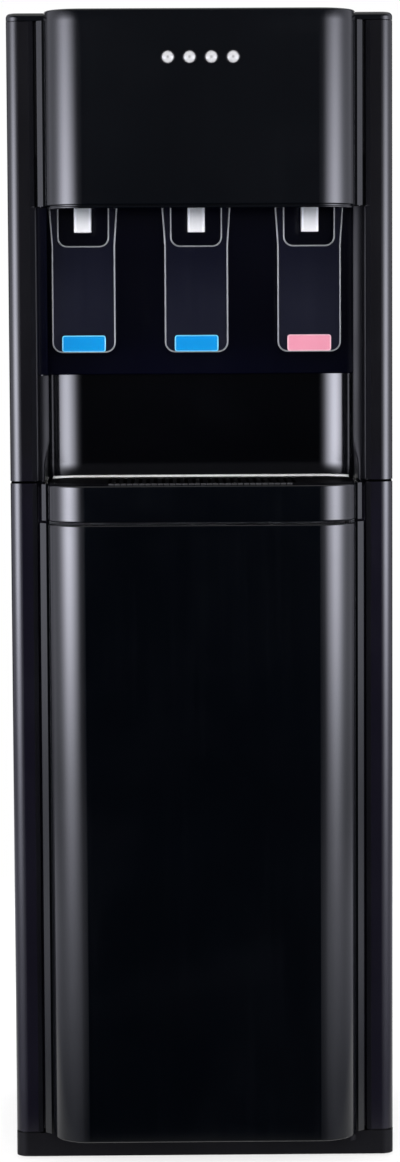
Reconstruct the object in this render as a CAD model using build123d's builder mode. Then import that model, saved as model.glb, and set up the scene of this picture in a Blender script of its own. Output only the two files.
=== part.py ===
from build123d import *
import os
from math import cos, radians, sin

# Bottom load water cooler, in millimetres.
# X runs to the right as seen from the front, the front faces -Y and Z is up.
# The origin is under the middle of the machine, on the floor.

# ---- overall size -------------------------------------------------------------------
cabinet_width = 350.0
cabinet_depth = 312.0
overall_height = 1052.0
panel_projection = 42.5  # how far the curved front panels stand out of the cabinet
drain_reach = 14.0  # how far the drain cap stands out of the back
lamp_stand = 2.2  # how far the indicator lamps stand out of the fascia
sheet = 2.0  # wall of the side and rear panels
wall = 2.5  # wall of the moulded front panels
seat_gap = 0.3  # running clearance between a moving piece and what it rests beside

half_width = cabinet_width / 2
half_depth = (lamp_stand + panel_projection + cabinet_depth + drain_reach) / 2
front_y = -half_depth + lamp_stand
cabinet_front = front_y + panel_projection
cabinet_back = cabinet_front + cabinet_depth

# ---- levels, from the floor up ------------------------------------------------------
foot_clearance = 2.0
plinth_height = 21.8
door_gap = 1.2
mid_gap = 2.4
mid_height = 33.1
alcove_height = 251.4
fascia_height = 166.2
cover_height = 7.0
cover_gap = 0.6
seam_gap = 2.2  # groove between the stacked side panels
side_seam_rise = 1.5  # how far that groove lies above the deck

cover_bottom = overall_height - cover_height
fascia_top = cover_bottom - cover_gap
fascia_bottom = fascia_top - fascia_height
deck_z = fascia_bottom - alcove_height
mid_bottom = deck_z - mid_height
door_top = mid_bottom - mid_gap
plinth_top = foot_clearance + plinth_height
door_bottom = plinth_top + door_gap
door_height = door_top - door_bottom
side_seam_z = deck_z + side_seam_rise

# ---- cabinet side panels ------------------------------------------------------------
cabinet_corner = 11.0
rear_corner = 5.0
rear_return = 17.0
front_return = 25.0  # width of the returns beside the front opening
opening_half = half_width - front_return
return_edge_radius = 2.4
rebate_depth = 9.0  # how far the ledges lie behind the cabinet front
rebate_radius = 0.8
bay_ledge_half = opening_half - 10.0
alcove_ledge_half = opening_half - 3.2
lip_height = 8.0  # lip of the lower side panel behind the groove
lip_wall = 1.5
lip_clearance = 0.2

# ---- curved front panels ------------------------------------------------------------
panel_half = opening_half - 10.0
panel_corner = 34.0
panel_edge_radius = 1.4
fascia_flange_half = opening_half - 3.0
mid_flange_half = opening_half - 4.0
door_flange_half = opening_half - 2.3
flange_stand = 7.2  # how far the flanges stand in front of the cabinet
flange_land = 0.4  # flat left between a flange's slope and the groove
groove_width = 1.7
groove_depth = 2.4
fascia_lip = 8.0  # lip under the fascia

# ---- alcove -------------------------------------------------------------------------
alcove_half = opening_half - 6.5
alcove_back_half = opening_half - 10.0
alcove_back_inset = 79.75  # how far the back wall lies behind the cabinet front
alcove_corner = 24.0
alcove_front_corner = 3.0
liner_wall = 2.0
ceiling_rise = 46.0  # how far the alcove runs up behind the fascia
floor_wall = 2.5

flange_face_y = cabinet_front + rebate_depth - liner_wall
alcove_back = cabinet_front + alcove_back_inset
alcove_ceiling = fascia_bottom + ceiling_rise

# ---- tap panel ----------------------------------------------------------------------
tap_panel_inset = 49.75  # how far its face lies behind the cabinet front
tap_panel_drop = 153.2  # how far it hangs below the fascia
tap_panel_clearance = 0.4
tap_panel_edge = 1.2
tap_panel_face = cabinet_front + tap_panel_inset
tap_panel_bottom = fascia_bottom - tap_panel_drop

# ---- taps ---------------------------------------------------------------------------
tap_names = ["left", "middle", "right"]
tap_margin = 40.5  # side of the alcove to the outer tap's axis
tap_pitch = alcove_half - tap_margin
tap_row_offset = -3.7  # the row sits a little left of the centre line
tap_rise = 21.8  # tap axis above the fascia's lower edge
tap_body_radius = 16.0
tap_bore_radius = 7.0
tap_body_reach = 56.0  # from the tap panel's face to the tap's nose
tap_flange_radius = 20.0
tap_flange = 3.0
tap_shank_radius = 9.0
tap_tail_radius = 5.0
tap_tail_reach = 16.0  # tail behind the alcove's back wall
tap_water_way = 3.5
hole_clearance = 0.4
nozzle_inset = 10.0  # nozzle axis behind the tap's nose
nozzle_radius = 8.0
nozzle_bore = 5.2
nozzle_drop = 48.7  # nozzle tip below the tap axis
nozzle_socket_drop = 17.0
nozzle_socket_radius = 9.5
trunnion_inset = 25.0  # trunnion axis in front of the tap panel's face
trunnion_radius = 2.5
pivot_clearance = 0.05
plunger_clearance = 0.5
plunger_length = 14.0
plunger_stem_radius = 2.4
plunger_stem = 22.0

tap_z = fascia_bottom + tap_rise
tap_nose = tap_panel_face - tap_body_reach
nozzle_y = tap_nose + nozzle_inset
trunnion_y = tap_panel_face - trunnion_inset
tap_xs = [tap_row_offset + (index - 1) * tap_pitch for index in range(3)]

# ---- paddles ------------------------------------------------------------------------
paddle_half = 28.75
paddle_top_half = 31.0
paddle_drop = 154.0  # lower edge below the tap axis
paddle_top_drop = 12.0
paddle_flare_drop = 22.0
paddle_straight_drop = 57.0
paddle_thickness = 3.5
paddle_inset = 7.0  # face in front of the trunnion axis
paddle_corner = 9.0
window_half = 22.8
window_drop = 57.5
window_corner = 8.0
ear_thickness = 3.0
ear_gap = 0.7  # ear outside the window's edge
ear_radius = 6.0
bead_width = 1.3
bead_height = 0.8
tag_half = 19.75
tag_height = 14.3
tag_thickness = 1.6
tag_corner = 2.0
tag_rise = 0.8
paddle_face = trunnion_y - paddle_inset
paddle_bottom = tap_z - paddle_drop

# ---- drip tray ----------------------------------------------------------------------
tray_half = opening_half - 14.5
tray_front_inset = 6.75
tray_back_inset = 6.0
tray_front_corner = 30.0
tray_back_corner = 27.0
tray_depth = 26.0
tray_wall = 1.8
tray_floor = 2.0
tray_rim_reach = 3.0
tray_rim = 1.8
tray_ledge = 2.7
tray_ledge_height = 4.0
tray_ledge_drop = 2.6
tray_clearance = 0.8
grille_thickness = 2.4
grille_slots = 25
slot_pitch = 7.0
slot_width = 3.4
slot_length = 78.0
slot_middle = 55.15  # middle of the slots behind the front
trim_width = 2.2
trim_height = 4.2
trim_reach = 14.0  # how far the trim comes forward along the alcove's sides

tray_front = front_y + tray_front_inset
tray_back = alcove_back - tray_back_inset
tray_middle = (tray_front + tray_back) / 2
rim_top = deck_z + tray_rim

# ---- door ---------------------------------------------------------------------------
door_flange_back = 1.0  # gap between the door's flange and the cabinet front
hinge_margin = 7.0  # hinge axis inside the curved panel's side
hinge_x = panel_half - hinge_margin
hinge_inset = 11.25  # hinge axis in front of the cabinet front
hinge_pin_radius = 3.0
hinge_pin_length = 16.0
hinge_boss_radius = 6.5
hinge_boss_height = 14.0
upper_boss_height = 7.0
hinge_lug_thickness = 5.0
liner_plate = 2.2
liner_rib = 3.0
magnet_width = 46.0
magnet_margin = 40.0
magnet_height = 12.0
magnet_x = magnet_margin - panel_half
magnet_drop = 16.0
hinge_y = cabinet_front - hinge_inset
door_back = cabinet_front - door_flange_back
inner_half = panel_half - wall
inner_front = front_y + wall
inner_corner = panel_corner - wall

# ---- decks and rear panels ----------------------------------------------------------
deck_sheet = 2.0
deck_front_lip = 22.0
deck_front_inset = 4.5  # front lip behind the cabinet front
door_swing = 20.0  # room beside the hinge for the door's edge to swing through
deck_top = mid_bottom
shelf_rise = 274.3  # tank shelf above the mid deck
shelf_flange = 12.0
shelf_back_inset = 36.0
panel_split = 1.6  # groove between the rear panels
rear_plane = cabinet_back - sheet
rear_face = rear_plane - sheet  # inner face of the rear panels
inside_half = half_width - sheet
rear_half = half_width - rear_corner - 0.2
shelf_z = deck_top + shelf_rise

# ---- tanks and cooling --------------------------------------------------------------
cold_jacket_margin = 41.0  # cabinet side to the jacket
hot_tube_margin = 43.3  # hot tap's tube to the jacket's side
cold_jacket_front = -28.0
cold_jacket_back = 66.0
cold_jacket_height = 166.0
jacket_wall = 16.0
jacket_corner = 14.0
tank_corner = 10.0
cold_jacket_left = cold_jacket_margin - half_width
cold_jacket_right = tap_xs[2] - hot_tube_margin
cooler_x = (cold_jacket_left + cold_jacket_right) / 2
cooler_rise = 82.0  # middle of the cooling block above the tank shelf
cold_block_size = 60.0
cold_block_proud = 4.0
peltier_size = 40.0
peltier_thickness = 4.0
sink_size = 110.0
sink_base = 6.0
sink_depth = 52.0
fin_count = 15
fin_thickness = 1.6
fan_size = 92.0
fan_depth = 25.0
fan_bore = 43.0
fan_hub_radius = 17.0
fan_tip_clearance = 2.0
fan_blades = 7
fan_cup_depth = 5.0
fan_shaft_radius = 2.0
hot_margin = 109.0  # cabinet side to the hot tank's axis
hot_x = half_width - hot_margin
hot_y = 35.0
hot_jacket_radius = 60.0
hot_jacket_height = 236.0
hot_tank_radius = 46.0
hot_tank_base = 20.0
hot_tank_height = 190.0
hot_tank_dome = 8.0
hot_outlet_offset = 18.0  # hot outlet and feed inlet either side of the tank axis
feed_offset = 32.0
tube_radius = 4.5
tube_bore = 3.0
tube_hole = tube_radius + 0.05  # hole that a tube passes through
tank_wall = 1.2
drain_rise = 36.0  # drain axis above the deck
drain_radius = 9.0
drain_bore = 5.0
drain_flange_radius = 16.0
drain_flange = 2.5
drain_cap_radius = 12.5
drain_cap_wall = 2.0
cooler_z = shelf_z + cooler_rise
outlet_x = hot_x + hot_outlet_offset
feed_x = hot_x - feed_offset

# ---- pump and bottle probe ----------------------------------------------------------
pump_margin = 29.0  # cabinet side to the pump's axis
pump_x = pump_margin - half_width
pump_back = 52.0
pump_axis_rise = 23.0
pump_width = 42.0
pump_head = 22.0
pump_motor_radius = 17.0
pump_motor_length = 50.0
pump_base = 3.0
barb_radius = 3.0
barb_length = 7.0
riser_x = pump_x - 7.0
probe_x = pump_x
probe_margin = 39.35  # cabinet back to the probe's axis
probe_y = cabinet_back - probe_margin
probe_neck_radius = 9.0
probe_cap_radius = 24.0
probe_cap_height = 28.0
probe_tube_radius = 6.0
probe_tube_length = 360.0
hanger_drop = 44.0
hanger_half = 22.0
hose_slot = 32.0


def bar(x_range, y_range, z_range):
    """Adds a block between two limits on each axis to the open part."""
    width = x_range[1] - x_range[0]
    depth = y_range[1] - y_range[0]
    height = z_range[1] - z_range[0]
    middle = ((x_range[0] + x_range[1]) / 2, (y_range[0] + y_range[1]) / 2, (z_range[0] + z_range[1]) / 2)
    with Locations(middle):
        Box(width, depth, height)


def facing(y):
    """A plane that faces the front at the given depth; extruding by -t goes towards the back."""
    return Plane.XZ.offset(-y)


def finish(part, name):
    part.label = name
    export_step(part, f"parts/{name}.step")


def side_sheet(ledge_half, side):
    """Plan of a side panel: rear return, side, rounded front corner, front return, rebate and ledge."""
    with BuildSketch(Plane.XY) as plan:
        with BuildLine():
            FilletPolyline(
                (side * (half_width - rear_return), cabinet_back),
                (side * half_width, cabinet_back),
                (side * half_width, cabinet_front),
                (side * opening_half, cabinet_front),
                (side * opening_half, cabinet_front + rebate_depth),
                (side * ledge_half, cabinet_front + rebate_depth),
                radius=[rear_corner, cabinet_corner, return_edge_radius, rebate_radius],
            )
            offset(amount=sheet, side=Side.RIGHT if side > 0 else Side.LEFT)
        make_face()
    return plan.sketch


def lip_sheet(inset, side):
    """Plan of the lip that closes the groove between the stacked side panels from behind."""
    outer = half_width - inset
    front = cabinet_front + inset
    with BuildSketch(Plane.XY) as plan:
        with BuildLine():
            FilletPolyline(
                (side * outer, cabinet_back - rear_corner - 1),
                (side * outer, front),
                (side * (opening_half + return_edge_radius + lip_clearance), front),
                radius=[cabinet_corner - inset],
            )
            offset(amount=lip_wall, side=Side.RIGHT if side > 0 else Side.LEFT)
        make_face()
    return plan.sketch


def curved_plan(half, front, back, corner):
    """Plan of a curved front panel: a flat front with large rounded vertical corners."""
    with BuildSketch(Plane.XY) as plan:
        with Locations((0, (front + back) / 2)):
            Rectangle(2 * half, back - front)
        fillet(plan.vertices().group_by(Axis.Y)[0], radius=corner)
    return plan.sketch


def curved_panel(bottom, top, flange_half, flange_back):
    """A curved front panel with its side flanges and the shadow groove beside them, still solid."""
    height = top - bottom
    with BuildPart() as body:
        extrude(curved_plan(panel_half, front_y, flange_back, panel_corner).moved(Pos(0, 0, bottom)), height)
        rims = body.edges().filter_by(lambda edge: edge.center().Y < flange_back - wall)
        fillet(rims.group_by(Axis.Z)[0] + rims.group_by(Axis.Z)[-1], panel_edge_radius)
    with BuildPart() as flange:
        bar((-flange_half, flange_half), (cabinet_front - flange_stand, flange_back), (bottom, top))
        slope = flange_half - panel_half - groove_width - flange_land
        chamfer(flange.edges().filter_by(Axis.Z).group_by(Axis.Y)[0], slope)
        for side in (-1, 1):
            groove_x = side * (panel_half + groove_width / 2)
            with Locations((groove_x, cabinet_front - flange_stand, (bottom + top) / 2)):
                Box(groove_width, 2 * groove_depth, height, mode=Mode.SUBTRACT)
        add(body.part)
    return flange.part


def alcove_plan(inset, front, closed):
    """Plan of the alcove: two drafted sides and a back wall with rounded corners, inset by a clearance."""
    draft = (alcove_half - alcove_back_half) / (alcove_back - flange_face_y)
    front_half = alcove_half - draft * (front - flange_face_y) - inset
    points = [
        (-front_half, front),
        (-alcove_back_half + inset, alcove_back - inset),
        (alcove_back_half - inset, alcove_back - inset),
        (front_half, front),
    ]
    back_radii = [alcove_corner - inset, alcove_corner - inset]
    if closed:
        with BuildSketch(Plane.XY) as plan:
            with BuildLine():
                FilletPolyline(*points, radius=back_radii)
                Line(points[-1], points[0])
            make_face()
        return plan.sketch
    flange_end = opening_half - rebate_radius - lip_clearance
    flanges = [(-flange_end, front), (flange_end, front)]
    with BuildSketch(Plane.XY) as plan:
        with BuildLine():
            FilletPolyline(
                flanges[0],
                *points,
                flanges[1],
                radius=[alcove_front_corner, *back_radii, alcove_front_corner],
            )
            offset(amount=liner_wall, side=Side.LEFT)
        make_face()
    return plan.sketch


def tray_plan(grow):
    """Plan of the drip tray, grown or shrunk all round."""
    with BuildSketch(Plane.XY) as plan:
        with Locations((0, tray_middle)):
            Rectangle(2 * (tray_half + grow), tray_back - tray_front + 2 * grow)
        fillet(plan.vertices().group_by(Axis.Y)[0], radius=tray_front_corner + grow)
        fillet(plan.vertices().group_by(Axis.Y)[-1], radius=tray_back_corner + grow)
    return plan.sketch


def lift(sketch, z):
    return sketch.moved(Pos(0, 0, z))


def tube_along(points, radii):
    """A silicone tube along straight runs joined by arcs."""
    with BuildPart() as tube:
        with BuildLine() as route:
            if radii:
                FilletPolyline(*points, radius=radii)
            else:
                Line(points[0], points[1])
        start = Vector(*points[0])
        direction = Vector(*points[1]) - start
        with BuildSketch(Plane(origin=start, z_dir=direction)):
            Circle(tube_radius)
            Circle(tube_bore, mode=Mode.SUBTRACT)
        sweep()
    return tube.part


os.makedirs("parts", exist_ok=True)

# ==== base ===========================================================================
plinth_wall = 3.0
foot_radius = 14.0
foot_height = 6.0
foot_x = half_width - 30.0
foot_y_inset = 26.0
foot_places = [
    (side * foot_x, y) for side in (-1, 1) for y in (cabinet_front + foot_y_inset, cabinet_back - foot_y_inset)
]
bottle_ring_radius = 120.0
bottle_ring_width = 3.0
bottle_ring_height = 1.2
bottle_y = (cabinet_front + cabinet_back) / 2 - 4.0
base_rib = 2.5
upstand_height = 10.0

with BuildPart() as base_plinth:
    with BuildSketch(Plane.XY.offset(foot_clearance)) as plinth_plan:
        with Locations((0, (cabinet_front + cabinet_back) / 2)):
            RectangleRounded(cabinet_width, cabinet_depth, cabinet_corner)
    extrude(amount=plinth_height)
    with BuildSketch(Plane.XY.offset(foot_clearance)):
        offset(plinth_plan.sketch_local, amount=-plinth_wall)
    extrude(amount=plinth_height - plinth_wall, mode=Mode.SUBTRACT)
    for rib_x in (-60.0, 60.0):
        bar(
            (rib_x - base_rib / 2, rib_x + base_rib / 2),
            (cabinet_front + 1, cabinet_back - 1),
            (foot_height, plinth_top - 1),
        )
    bar(
        (-half_width + 1, half_width - 1),
        (bottle_y - base_rib / 2, bottle_y + base_rib / 2),
        (foot_height, plinth_top - 1),
    )
    with BuildSketch(Plane.XY.offset(foot_height)):
        with Locations(*foot_places):
            Circle(foot_radius)
    extrude(amount=plinth_top - foot_height - 1)
    # ring that centres the water bottle
    with BuildSketch(Plane.XY.offset(plinth_top)):
        with Locations((0, bottle_y)):
            Circle(bottle_ring_radius)
            Circle(bottle_ring_radius - bottle_ring_width, mode=Mode.SUBTRACT)
    extrude(amount=bottle_ring_height)
    # lug for the lower hinge pin
    with BuildSketch(Plane.XY.offset(plinth_top - hinge_lug_thickness)):
        with Locations((hinge_x, hinge_y)):
            Circle(hinge_boss_radius)
        with Locations((hinge_x, (hinge_y + cabinet_front) / 2 + 0.5)):
            Rectangle(2 * hinge_boss_radius, hinge_inset + 1)
    extrude(amount=hinge_lug_thickness)
    with BuildSketch(Plane.XY.offset(plinth_top - hinge_lug_thickness)):
        with Locations((hinge_x, hinge_y)):
            Circle(hinge_pin_radius)
    extrude(amount=hinge_lug_thickness, mode=Mode.SUBTRACT)
    # upstand behind the groove, which carries the side and rear panels
    for side in (-1, 1):
        extrude(lift(lip_sheet(sheet, side), plinth_top - 1), upstand_height + 1)
    bar(
        (-rear_half, rear_half),
        (rear_face - lip_wall, rear_face),
        (plinth_top - 1, plinth_top + upstand_height),
    )
finish(base_plinth.part, "base_plinth")

with BuildPart() as levelling_feet:
    with BuildSketch(Plane.XY):
        with Locations(*foot_places):
            Circle(foot_radius - 1)
    extrude(amount=foot_height)
    chamfer(levelling_feet.edges().group_by(Axis.Z)[0], 1.0)
finish(levelling_feet.part, "levelling_feet")

# ==== side panels ====================================================================
lower_side_top = side_seam_z - seam_gap / 2
upper_side_bottom = side_seam_z + seam_gap / 2
lower_side_bottom = plinth_top + door_gap + 0.4
screw_x = half_width - rear_return + 6.0
screw_radius = 1.6
screw_head_radius = 3.6
screw_head = 1.8
screw_margin = 34.0
lower_screw_zs = [
    lower_side_bottom + screw_margin,
    (lower_side_bottom + deck_top) / 2,
    deck_top - screw_margin,
]
upper_screw_zs = [
    side_seam_z + screw_margin,
    (side_seam_z + fascia_top) / 2,
    fascia_top - screw_margin,
]


def drill_screws(side, heights):
    """Drills the open part for the screws that hold the rear panels to the side panels."""
    with BuildSketch(facing(cabinet_back + 1)) as holes:
        with Locations(*[(side * screw_x, z) for z in heights]):
            Circle(screw_radius + 0.1)
    extrude(holes.sketch, amount=3 * sheet, mode=Mode.SUBTRACT)


for side_name, side in (("left", -1), ("right", 1)):
    with BuildPart() as lower_side:
        extrude(lift(side_sheet(bay_ledge_half, side), lower_side_bottom), lower_side_top - lower_side_bottom)
        # the ledge narrows beside the alcove
        with Locations((side * (bay_ledge_half + alcove_ledge_half) / 2, cabinet_front + rebate_depth, deck_z)):
            Box(alcove_ledge_half - bay_ledge_half, 3 * sheet, 2 * mid_height, mode=Mode.SUBTRACT)
        extrude(lift(lip_sheet(sheet, side), lower_side_top - lip_height), lip_height)
        extrude(lift(lip_sheet(sheet + lip_clearance, side), lower_side_top - 1), lip_height + seam_gap)
        drill_screws(side, lower_screw_zs)
    finish(lower_side.part, f"lower_side_{side_name}")

    with BuildPart() as upper_side:
        extrude(lift(side_sheet(alcove_ledge_half, side), upper_side_bottom), fascia_top - upper_side_bottom)
        drill_screws(side, upper_screw_zs)
    finish(upper_side.part, f"upper_side_{side_name}")

# ==== rear panels ====================================================================
rear_rib_x = half_width - 95.0
rear_rib_width = 14.0
rear_rib_depth = 3.0
louvre_rows = 9
louvre_pitch = 12.0
louvre_width = 90.0
louvre_height = 4.5
louvre_z = side_seam_z + 91.7
louvre_x = hot_x + 9.0
grille_rings = [39.0, 30.0, 21.0, 12.0]
grille_slot_width = 5.0
grille_spoke = 4.0
deck_bottom = deck_top - deck_sheet

with BuildPart() as lower_rear_panel:
    bar((-rear_half, rear_half), (rear_face, rear_plane), (lower_side_bottom, deck_top - panel_split))
    rib_height = deck_top - lower_side_bottom - 80.0
    for rib_x in (-rear_rib_x, 0, rear_rib_x):
        with BuildSketch(facing(rear_plane)):
            with Locations((rib_x, (lower_side_bottom + deck_top) / 2)):
                SlotOverall(rib_height, rear_rib_width, rotation=90)
        extrude(amount=-rear_rib_depth / 2)
    for side in (-1, 1):
        drill_screws(side, lower_screw_zs)
finish(lower_rear_panel.part, "lower_rear_panel")

drain_x = hot_x
drain_z = deck_top + drain_rise
inlet_x = half_width - 45.0
inlet_z = side_seam_z + 21.7
inlet_radius = 8.0
switch_x = 70.0 - half_width
switch_z = side_seam_z + 71.7
bezel_width = 62.0
bezel_height = 34.0
bezel_hole_width = 50.0
bezel_hole_height = 24.0

with BuildPart() as upper_rear_panel:
    bar((-rear_half, rear_half), (rear_face, rear_plane), (deck_top, fascia_top))
    # louvres beside the hot tank
    with BuildSketch(facing(rear_plane)):
        with Locations((louvre_x, louvre_z)):
            with GridLocations(1, louvre_pitch, 1, louvre_rows):
                SlotOverall(louvre_width, louvre_height)
    extrude(amount=sheet, mode=Mode.SUBTRACT)
    # fan grille: rings of slots between spokes
    with BuildSketch(facing(rear_plane)):
        with Locations((cooler_x, cooler_z)):
            for ring_radius in grille_rings:
                Circle(ring_radius + grille_slot_width / 2)
                Circle(ring_radius - grille_slot_width / 2, mode=Mode.SUBTRACT)
            for spoke_turn in (0, 60, 120):
                Rectangle(2 * fan_size, grille_spoke, rotation=spoke_turn, mode=Mode.SUBTRACT)
    extrude(amount=sheet, mode=Mode.SUBTRACT)
    with BuildSketch(facing(rear_plane)):
        with Locations((drain_x, drain_z)):
            Circle(drain_radius + hole_clearance)
        with Locations((inlet_x, inlet_z)):
            Circle(inlet_radius + hole_clearance)
        with Locations((switch_x, switch_z)):
            Rectangle(bezel_hole_width + 2 * hole_clearance, bezel_hole_height + 2 * hole_clearance)
    extrude(amount=sheet, mode=Mode.SUBTRACT)
    for side in (-1, 1):
        drill_screws(side, upper_screw_zs)
finish(upper_rear_panel.part, "upper_rear_panel")

# ==== top cover ======================================================================
cover_edge_radius = 4.0
cover_skirt = 8.0
with BuildPart() as top_cover:
    with BuildSketch(Plane.XY.offset(cover_bottom)) as cover_plan:
        with Locations((0, (cabinet_front + cabinet_back) / 2)):
            RectangleRounded(cabinet_width, cabinet_depth, cabinet_corner)
        add(curved_plan(panel_half, front_y, cabinet_front + cabinet_corner, panel_corner))
    extrude(amount=cover_height)
    fillet(top_cover.edges().group_by(Axis.Z)[-1], cover_edge_radius)
    with BuildSketch(Plane.XY.offset(cover_bottom)):
        offset(cover_plan.sketch_local, amount=-2 * wall)
    extrude(amount=cover_height - wall, mode=Mode.SUBTRACT)
    # skirt that plugs into the side and rear panels
    skirt_z = (cover_bottom - cover_skirt, overall_height - wall)
    for side in (-1, 1):
        outer = side * inside_half
        inner = side * (inside_half - lip_wall)
        bar((min(outer, inner), max(outer, inner)), (cabinet_front + 40, cabinet_back - 40), skirt_z)
    bar((-rear_half + 20, rear_half - 20), (rear_face - lip_wall, rear_face), skirt_z)
finish(top_cover.part, "top_cover")

# ==== decks ==========================================================================
deck_front = cabinet_front + deck_front_inset
deck_body_front = cabinet_front + rebate_depth + sheet + seat_gap
deck_half = inside_half - 0.2

with BuildPart() as mid_deck:
    bar((-deck_half, deck_half), (deck_body_front, rear_face), (deck_bottom, deck_top))
    bar((-bay_ledge_half + 1, bay_ledge_half - 1), (deck_front, deck_body_front + 1), (deck_bottom, deck_top))
    # folded front lip, which the door magnet meets
    bar(
        (-bay_ledge_half + 1, hinge_x - door_swing),
        (deck_front, deck_front + deck_sheet),
        (deck_top - deck_front_lip, deck_top),
    )
    # folded hanger for the bottle probe, with a slot for its neck
    bar(
        (-deck_half, -deck_half + deck_sheet),
        (probe_y - hanger_half, probe_y + hanger_half),
        (deck_top - hanger_drop, deck_top),
    )
    bar(
        (-deck_half, probe_x + hanger_half),
        (probe_y - hanger_half, probe_y + hanger_half),
        (deck_top - hanger_drop, deck_top - hanger_drop + deck_sheet),
    )
    with BuildSketch(Plane.XY.offset(deck_top - hanger_drop)):
        with Locations((probe_x, probe_y)):
            Circle(probe_neck_radius + seat_gap)
        with Locations((probe_x + hanger_half, probe_y)):
            Rectangle(2 * hanger_half, 2 * (probe_neck_radius + seat_gap))
    extrude(amount=deck_sheet, mode=Mode.SUBTRACT)
    # slot that the probe's hose bends through
    with BuildSketch(Plane.XY.offset(deck_bottom)):
        with Locations((probe_x, probe_y - hose_slot / 4)):
            SlotOverall(hose_slot, 2 * (tube_radius + hole_clearance), rotation=90)
    extrude(amount=deck_sheet, mode=Mode.SUBTRACT)
finish(mid_deck.part, "mid_deck")

shelf_front = alcove_back + liner_wall + hole_clearance
shelf_back = rear_plane - shelf_back_inset
riser_y = pump_back - pump_head / 2
with BuildPart() as tank_shelf:
    bar((-deck_half, deck_half), (shelf_front, shelf_back), (shelf_z - deck_sheet, shelf_z))
    for side in (-1, 1):
        outer = side * deck_half
        inner = side * (deck_half - deck_sheet)
        bar((min(outer, inner), max(outer, inner)), (shelf_front, shelf_back), (shelf_z - shelf_flange, shelf_z))
    with BuildSketch(Plane.XY.offset(shelf_z - deck_sheet)):
        with Locations((feed_x, hot_y), (riser_x, riser_y), (outlet_x, hot_y)):
            Circle(tube_radius + hole_clearance)
    extrude(amount=deck_sheet, mode=Mode.SUBTRACT)
finish(tank_shelf.part, "tank_shelf")

# ==== fascia and its indicator lamps =================================================
lamp_pitch = 19.4
lamp_x = 0.5
lamp_drop = 35.4  # lamp row below the fascia's upper edge
lamp_z = fascia_top - lamp_drop
lamp_radius = 5.8
lamp_stem_radius = 4.0
lamp_xs = [lamp_x + (index - 1.5) * lamp_pitch for index in range(4)]
lamp_stem = 6.0

with BuildPart() as fascia:
    add(curved_panel(fascia_bottom, fascia_top, fascia_flange_half, flange_face_y))
    extrude(
        lift(curved_plan(inner_half, inner_front, flange_face_y, inner_corner), fascia_bottom + wall),
        fascia_top - fascia_bottom,
        mode=Mode.SUBTRACT,
    )
    extrude(
        lift(
            curved_plan(
                inner_half - fascia_lip, inner_front + fascia_lip, flange_face_y, inner_corner - fascia_lip
            ),
            fascia_bottom,
        ),
        wall,
        mode=Mode.SUBTRACT,
    )
    with BuildSketch(facing(front_y)):
        with Locations(*[(x, lamp_z) for x in lamp_xs]):
            Circle(lamp_stem_radius + 0.1)
    extrude(amount=-2 * wall, mode=Mode.SUBTRACT)
finish(fascia.part, "fascia")

with BuildPart() as led_lenses:
    for x in lamp_xs:
        with BuildSketch(Plane.YZ.offset(x)):
            with BuildLine():
                Polyline(
                    (front_y, lamp_z + lamp_radius),
                    (front_y, lamp_z + lamp_stem_radius),
                    (front_y + lamp_stem, lamp_z + lamp_stem_radius),
                    (front_y + lamp_stem, lamp_z),
                    (front_y - lamp_stand, lamp_z),
                )
                ThreePointArc(
                    (front_y - lamp_stand, lamp_z),
                    (front_y - lamp_stand * 0.76, lamp_z + lamp_radius * 0.52),
                    (front_y, lamp_z + lamp_radius),
                )
            make_face()
        revolve(axis=Axis((x, front_y, lamp_z), (0, 1, 0)))
finish(led_lenses.part, "led_lenses")

led_board_half = 46.0
led_board_height = 28.0
led_board_y = front_y + lamp_stem + 1.0
with BuildPart() as led_board:
    bar(
        (lamp_x - led_board_half, lamp_x + led_board_half),
        (led_board_y, led_board_y + 1.6),
        (lamp_z - led_board_height / 2, lamp_z + led_board_height / 2),
    )
    with BuildSketch(facing(led_board_y)):
        with Locations((lamp_x, lamp_z)):
            with GridLocations(2 * led_board_half - 8, led_board_height - 8, 2, 2):
                Circle(2.5)
    extrude(amount=led_board_y - inner_front)
finish(led_board.part, "led_board")

# ==== alcove =========================================================================
floor_bottom = deck_z - floor_wall
with BuildPart() as alcove_liner:
    extrude(lift(alcove_plan(0, flange_face_y, False), floor_bottom), alcove_ceiling - floor_bottom)
    extrude(lift(alcove_plan(0, flange_face_y, True), floor_bottom), floor_wall)
    extrude(lift(alcove_plan(0, flange_face_y, True), alcove_ceiling - liner_wall), liner_wall)
    extrude(lift(tray_plan(tray_clearance), floor_bottom), floor_wall, mode=Mode.SUBTRACT)
    with BuildSketch(facing(alcove_back - liner_wall)):
        with Locations(*[(x, tap_z) for x in tap_xs]):
            Circle(tap_shank_radius + hole_clearance)
    extrude(amount=-3 * liner_wall, mode=Mode.SUBTRACT)
finish(alcove_liner.part, "alcove_liner")

with BuildPart() as tap_panel:
    panel_top = alcove_ceiling - liner_wall - hole_clearance
    extrude(
        lift(alcove_plan(tap_panel_clearance, tap_panel_face, True), tap_panel_bottom),
        panel_top - tap_panel_bottom,
    )
    fillet(tap_panel.faces().sort_by(Axis.Y)[0].edges().group_by(Axis.Z)[0], tap_panel_edge)
    extrude(
        lift(alcove_plan(tap_panel_clearance + wall, tap_panel_face + wall, True), tap_panel_bottom + wall),
        panel_top - tap_panel_bottom,
        mode=Mode.SUBTRACT,
    )
    with BuildSketch(facing(tap_panel_face)):
        with Locations(*[(x, tap_z) for x in tap_xs]):
            Circle(tap_shank_radius + hole_clearance)
    extrude(amount=-alcove_back_inset, mode=Mode.SUBTRACT)
finish(tap_panel.part, "tap_panel")

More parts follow.
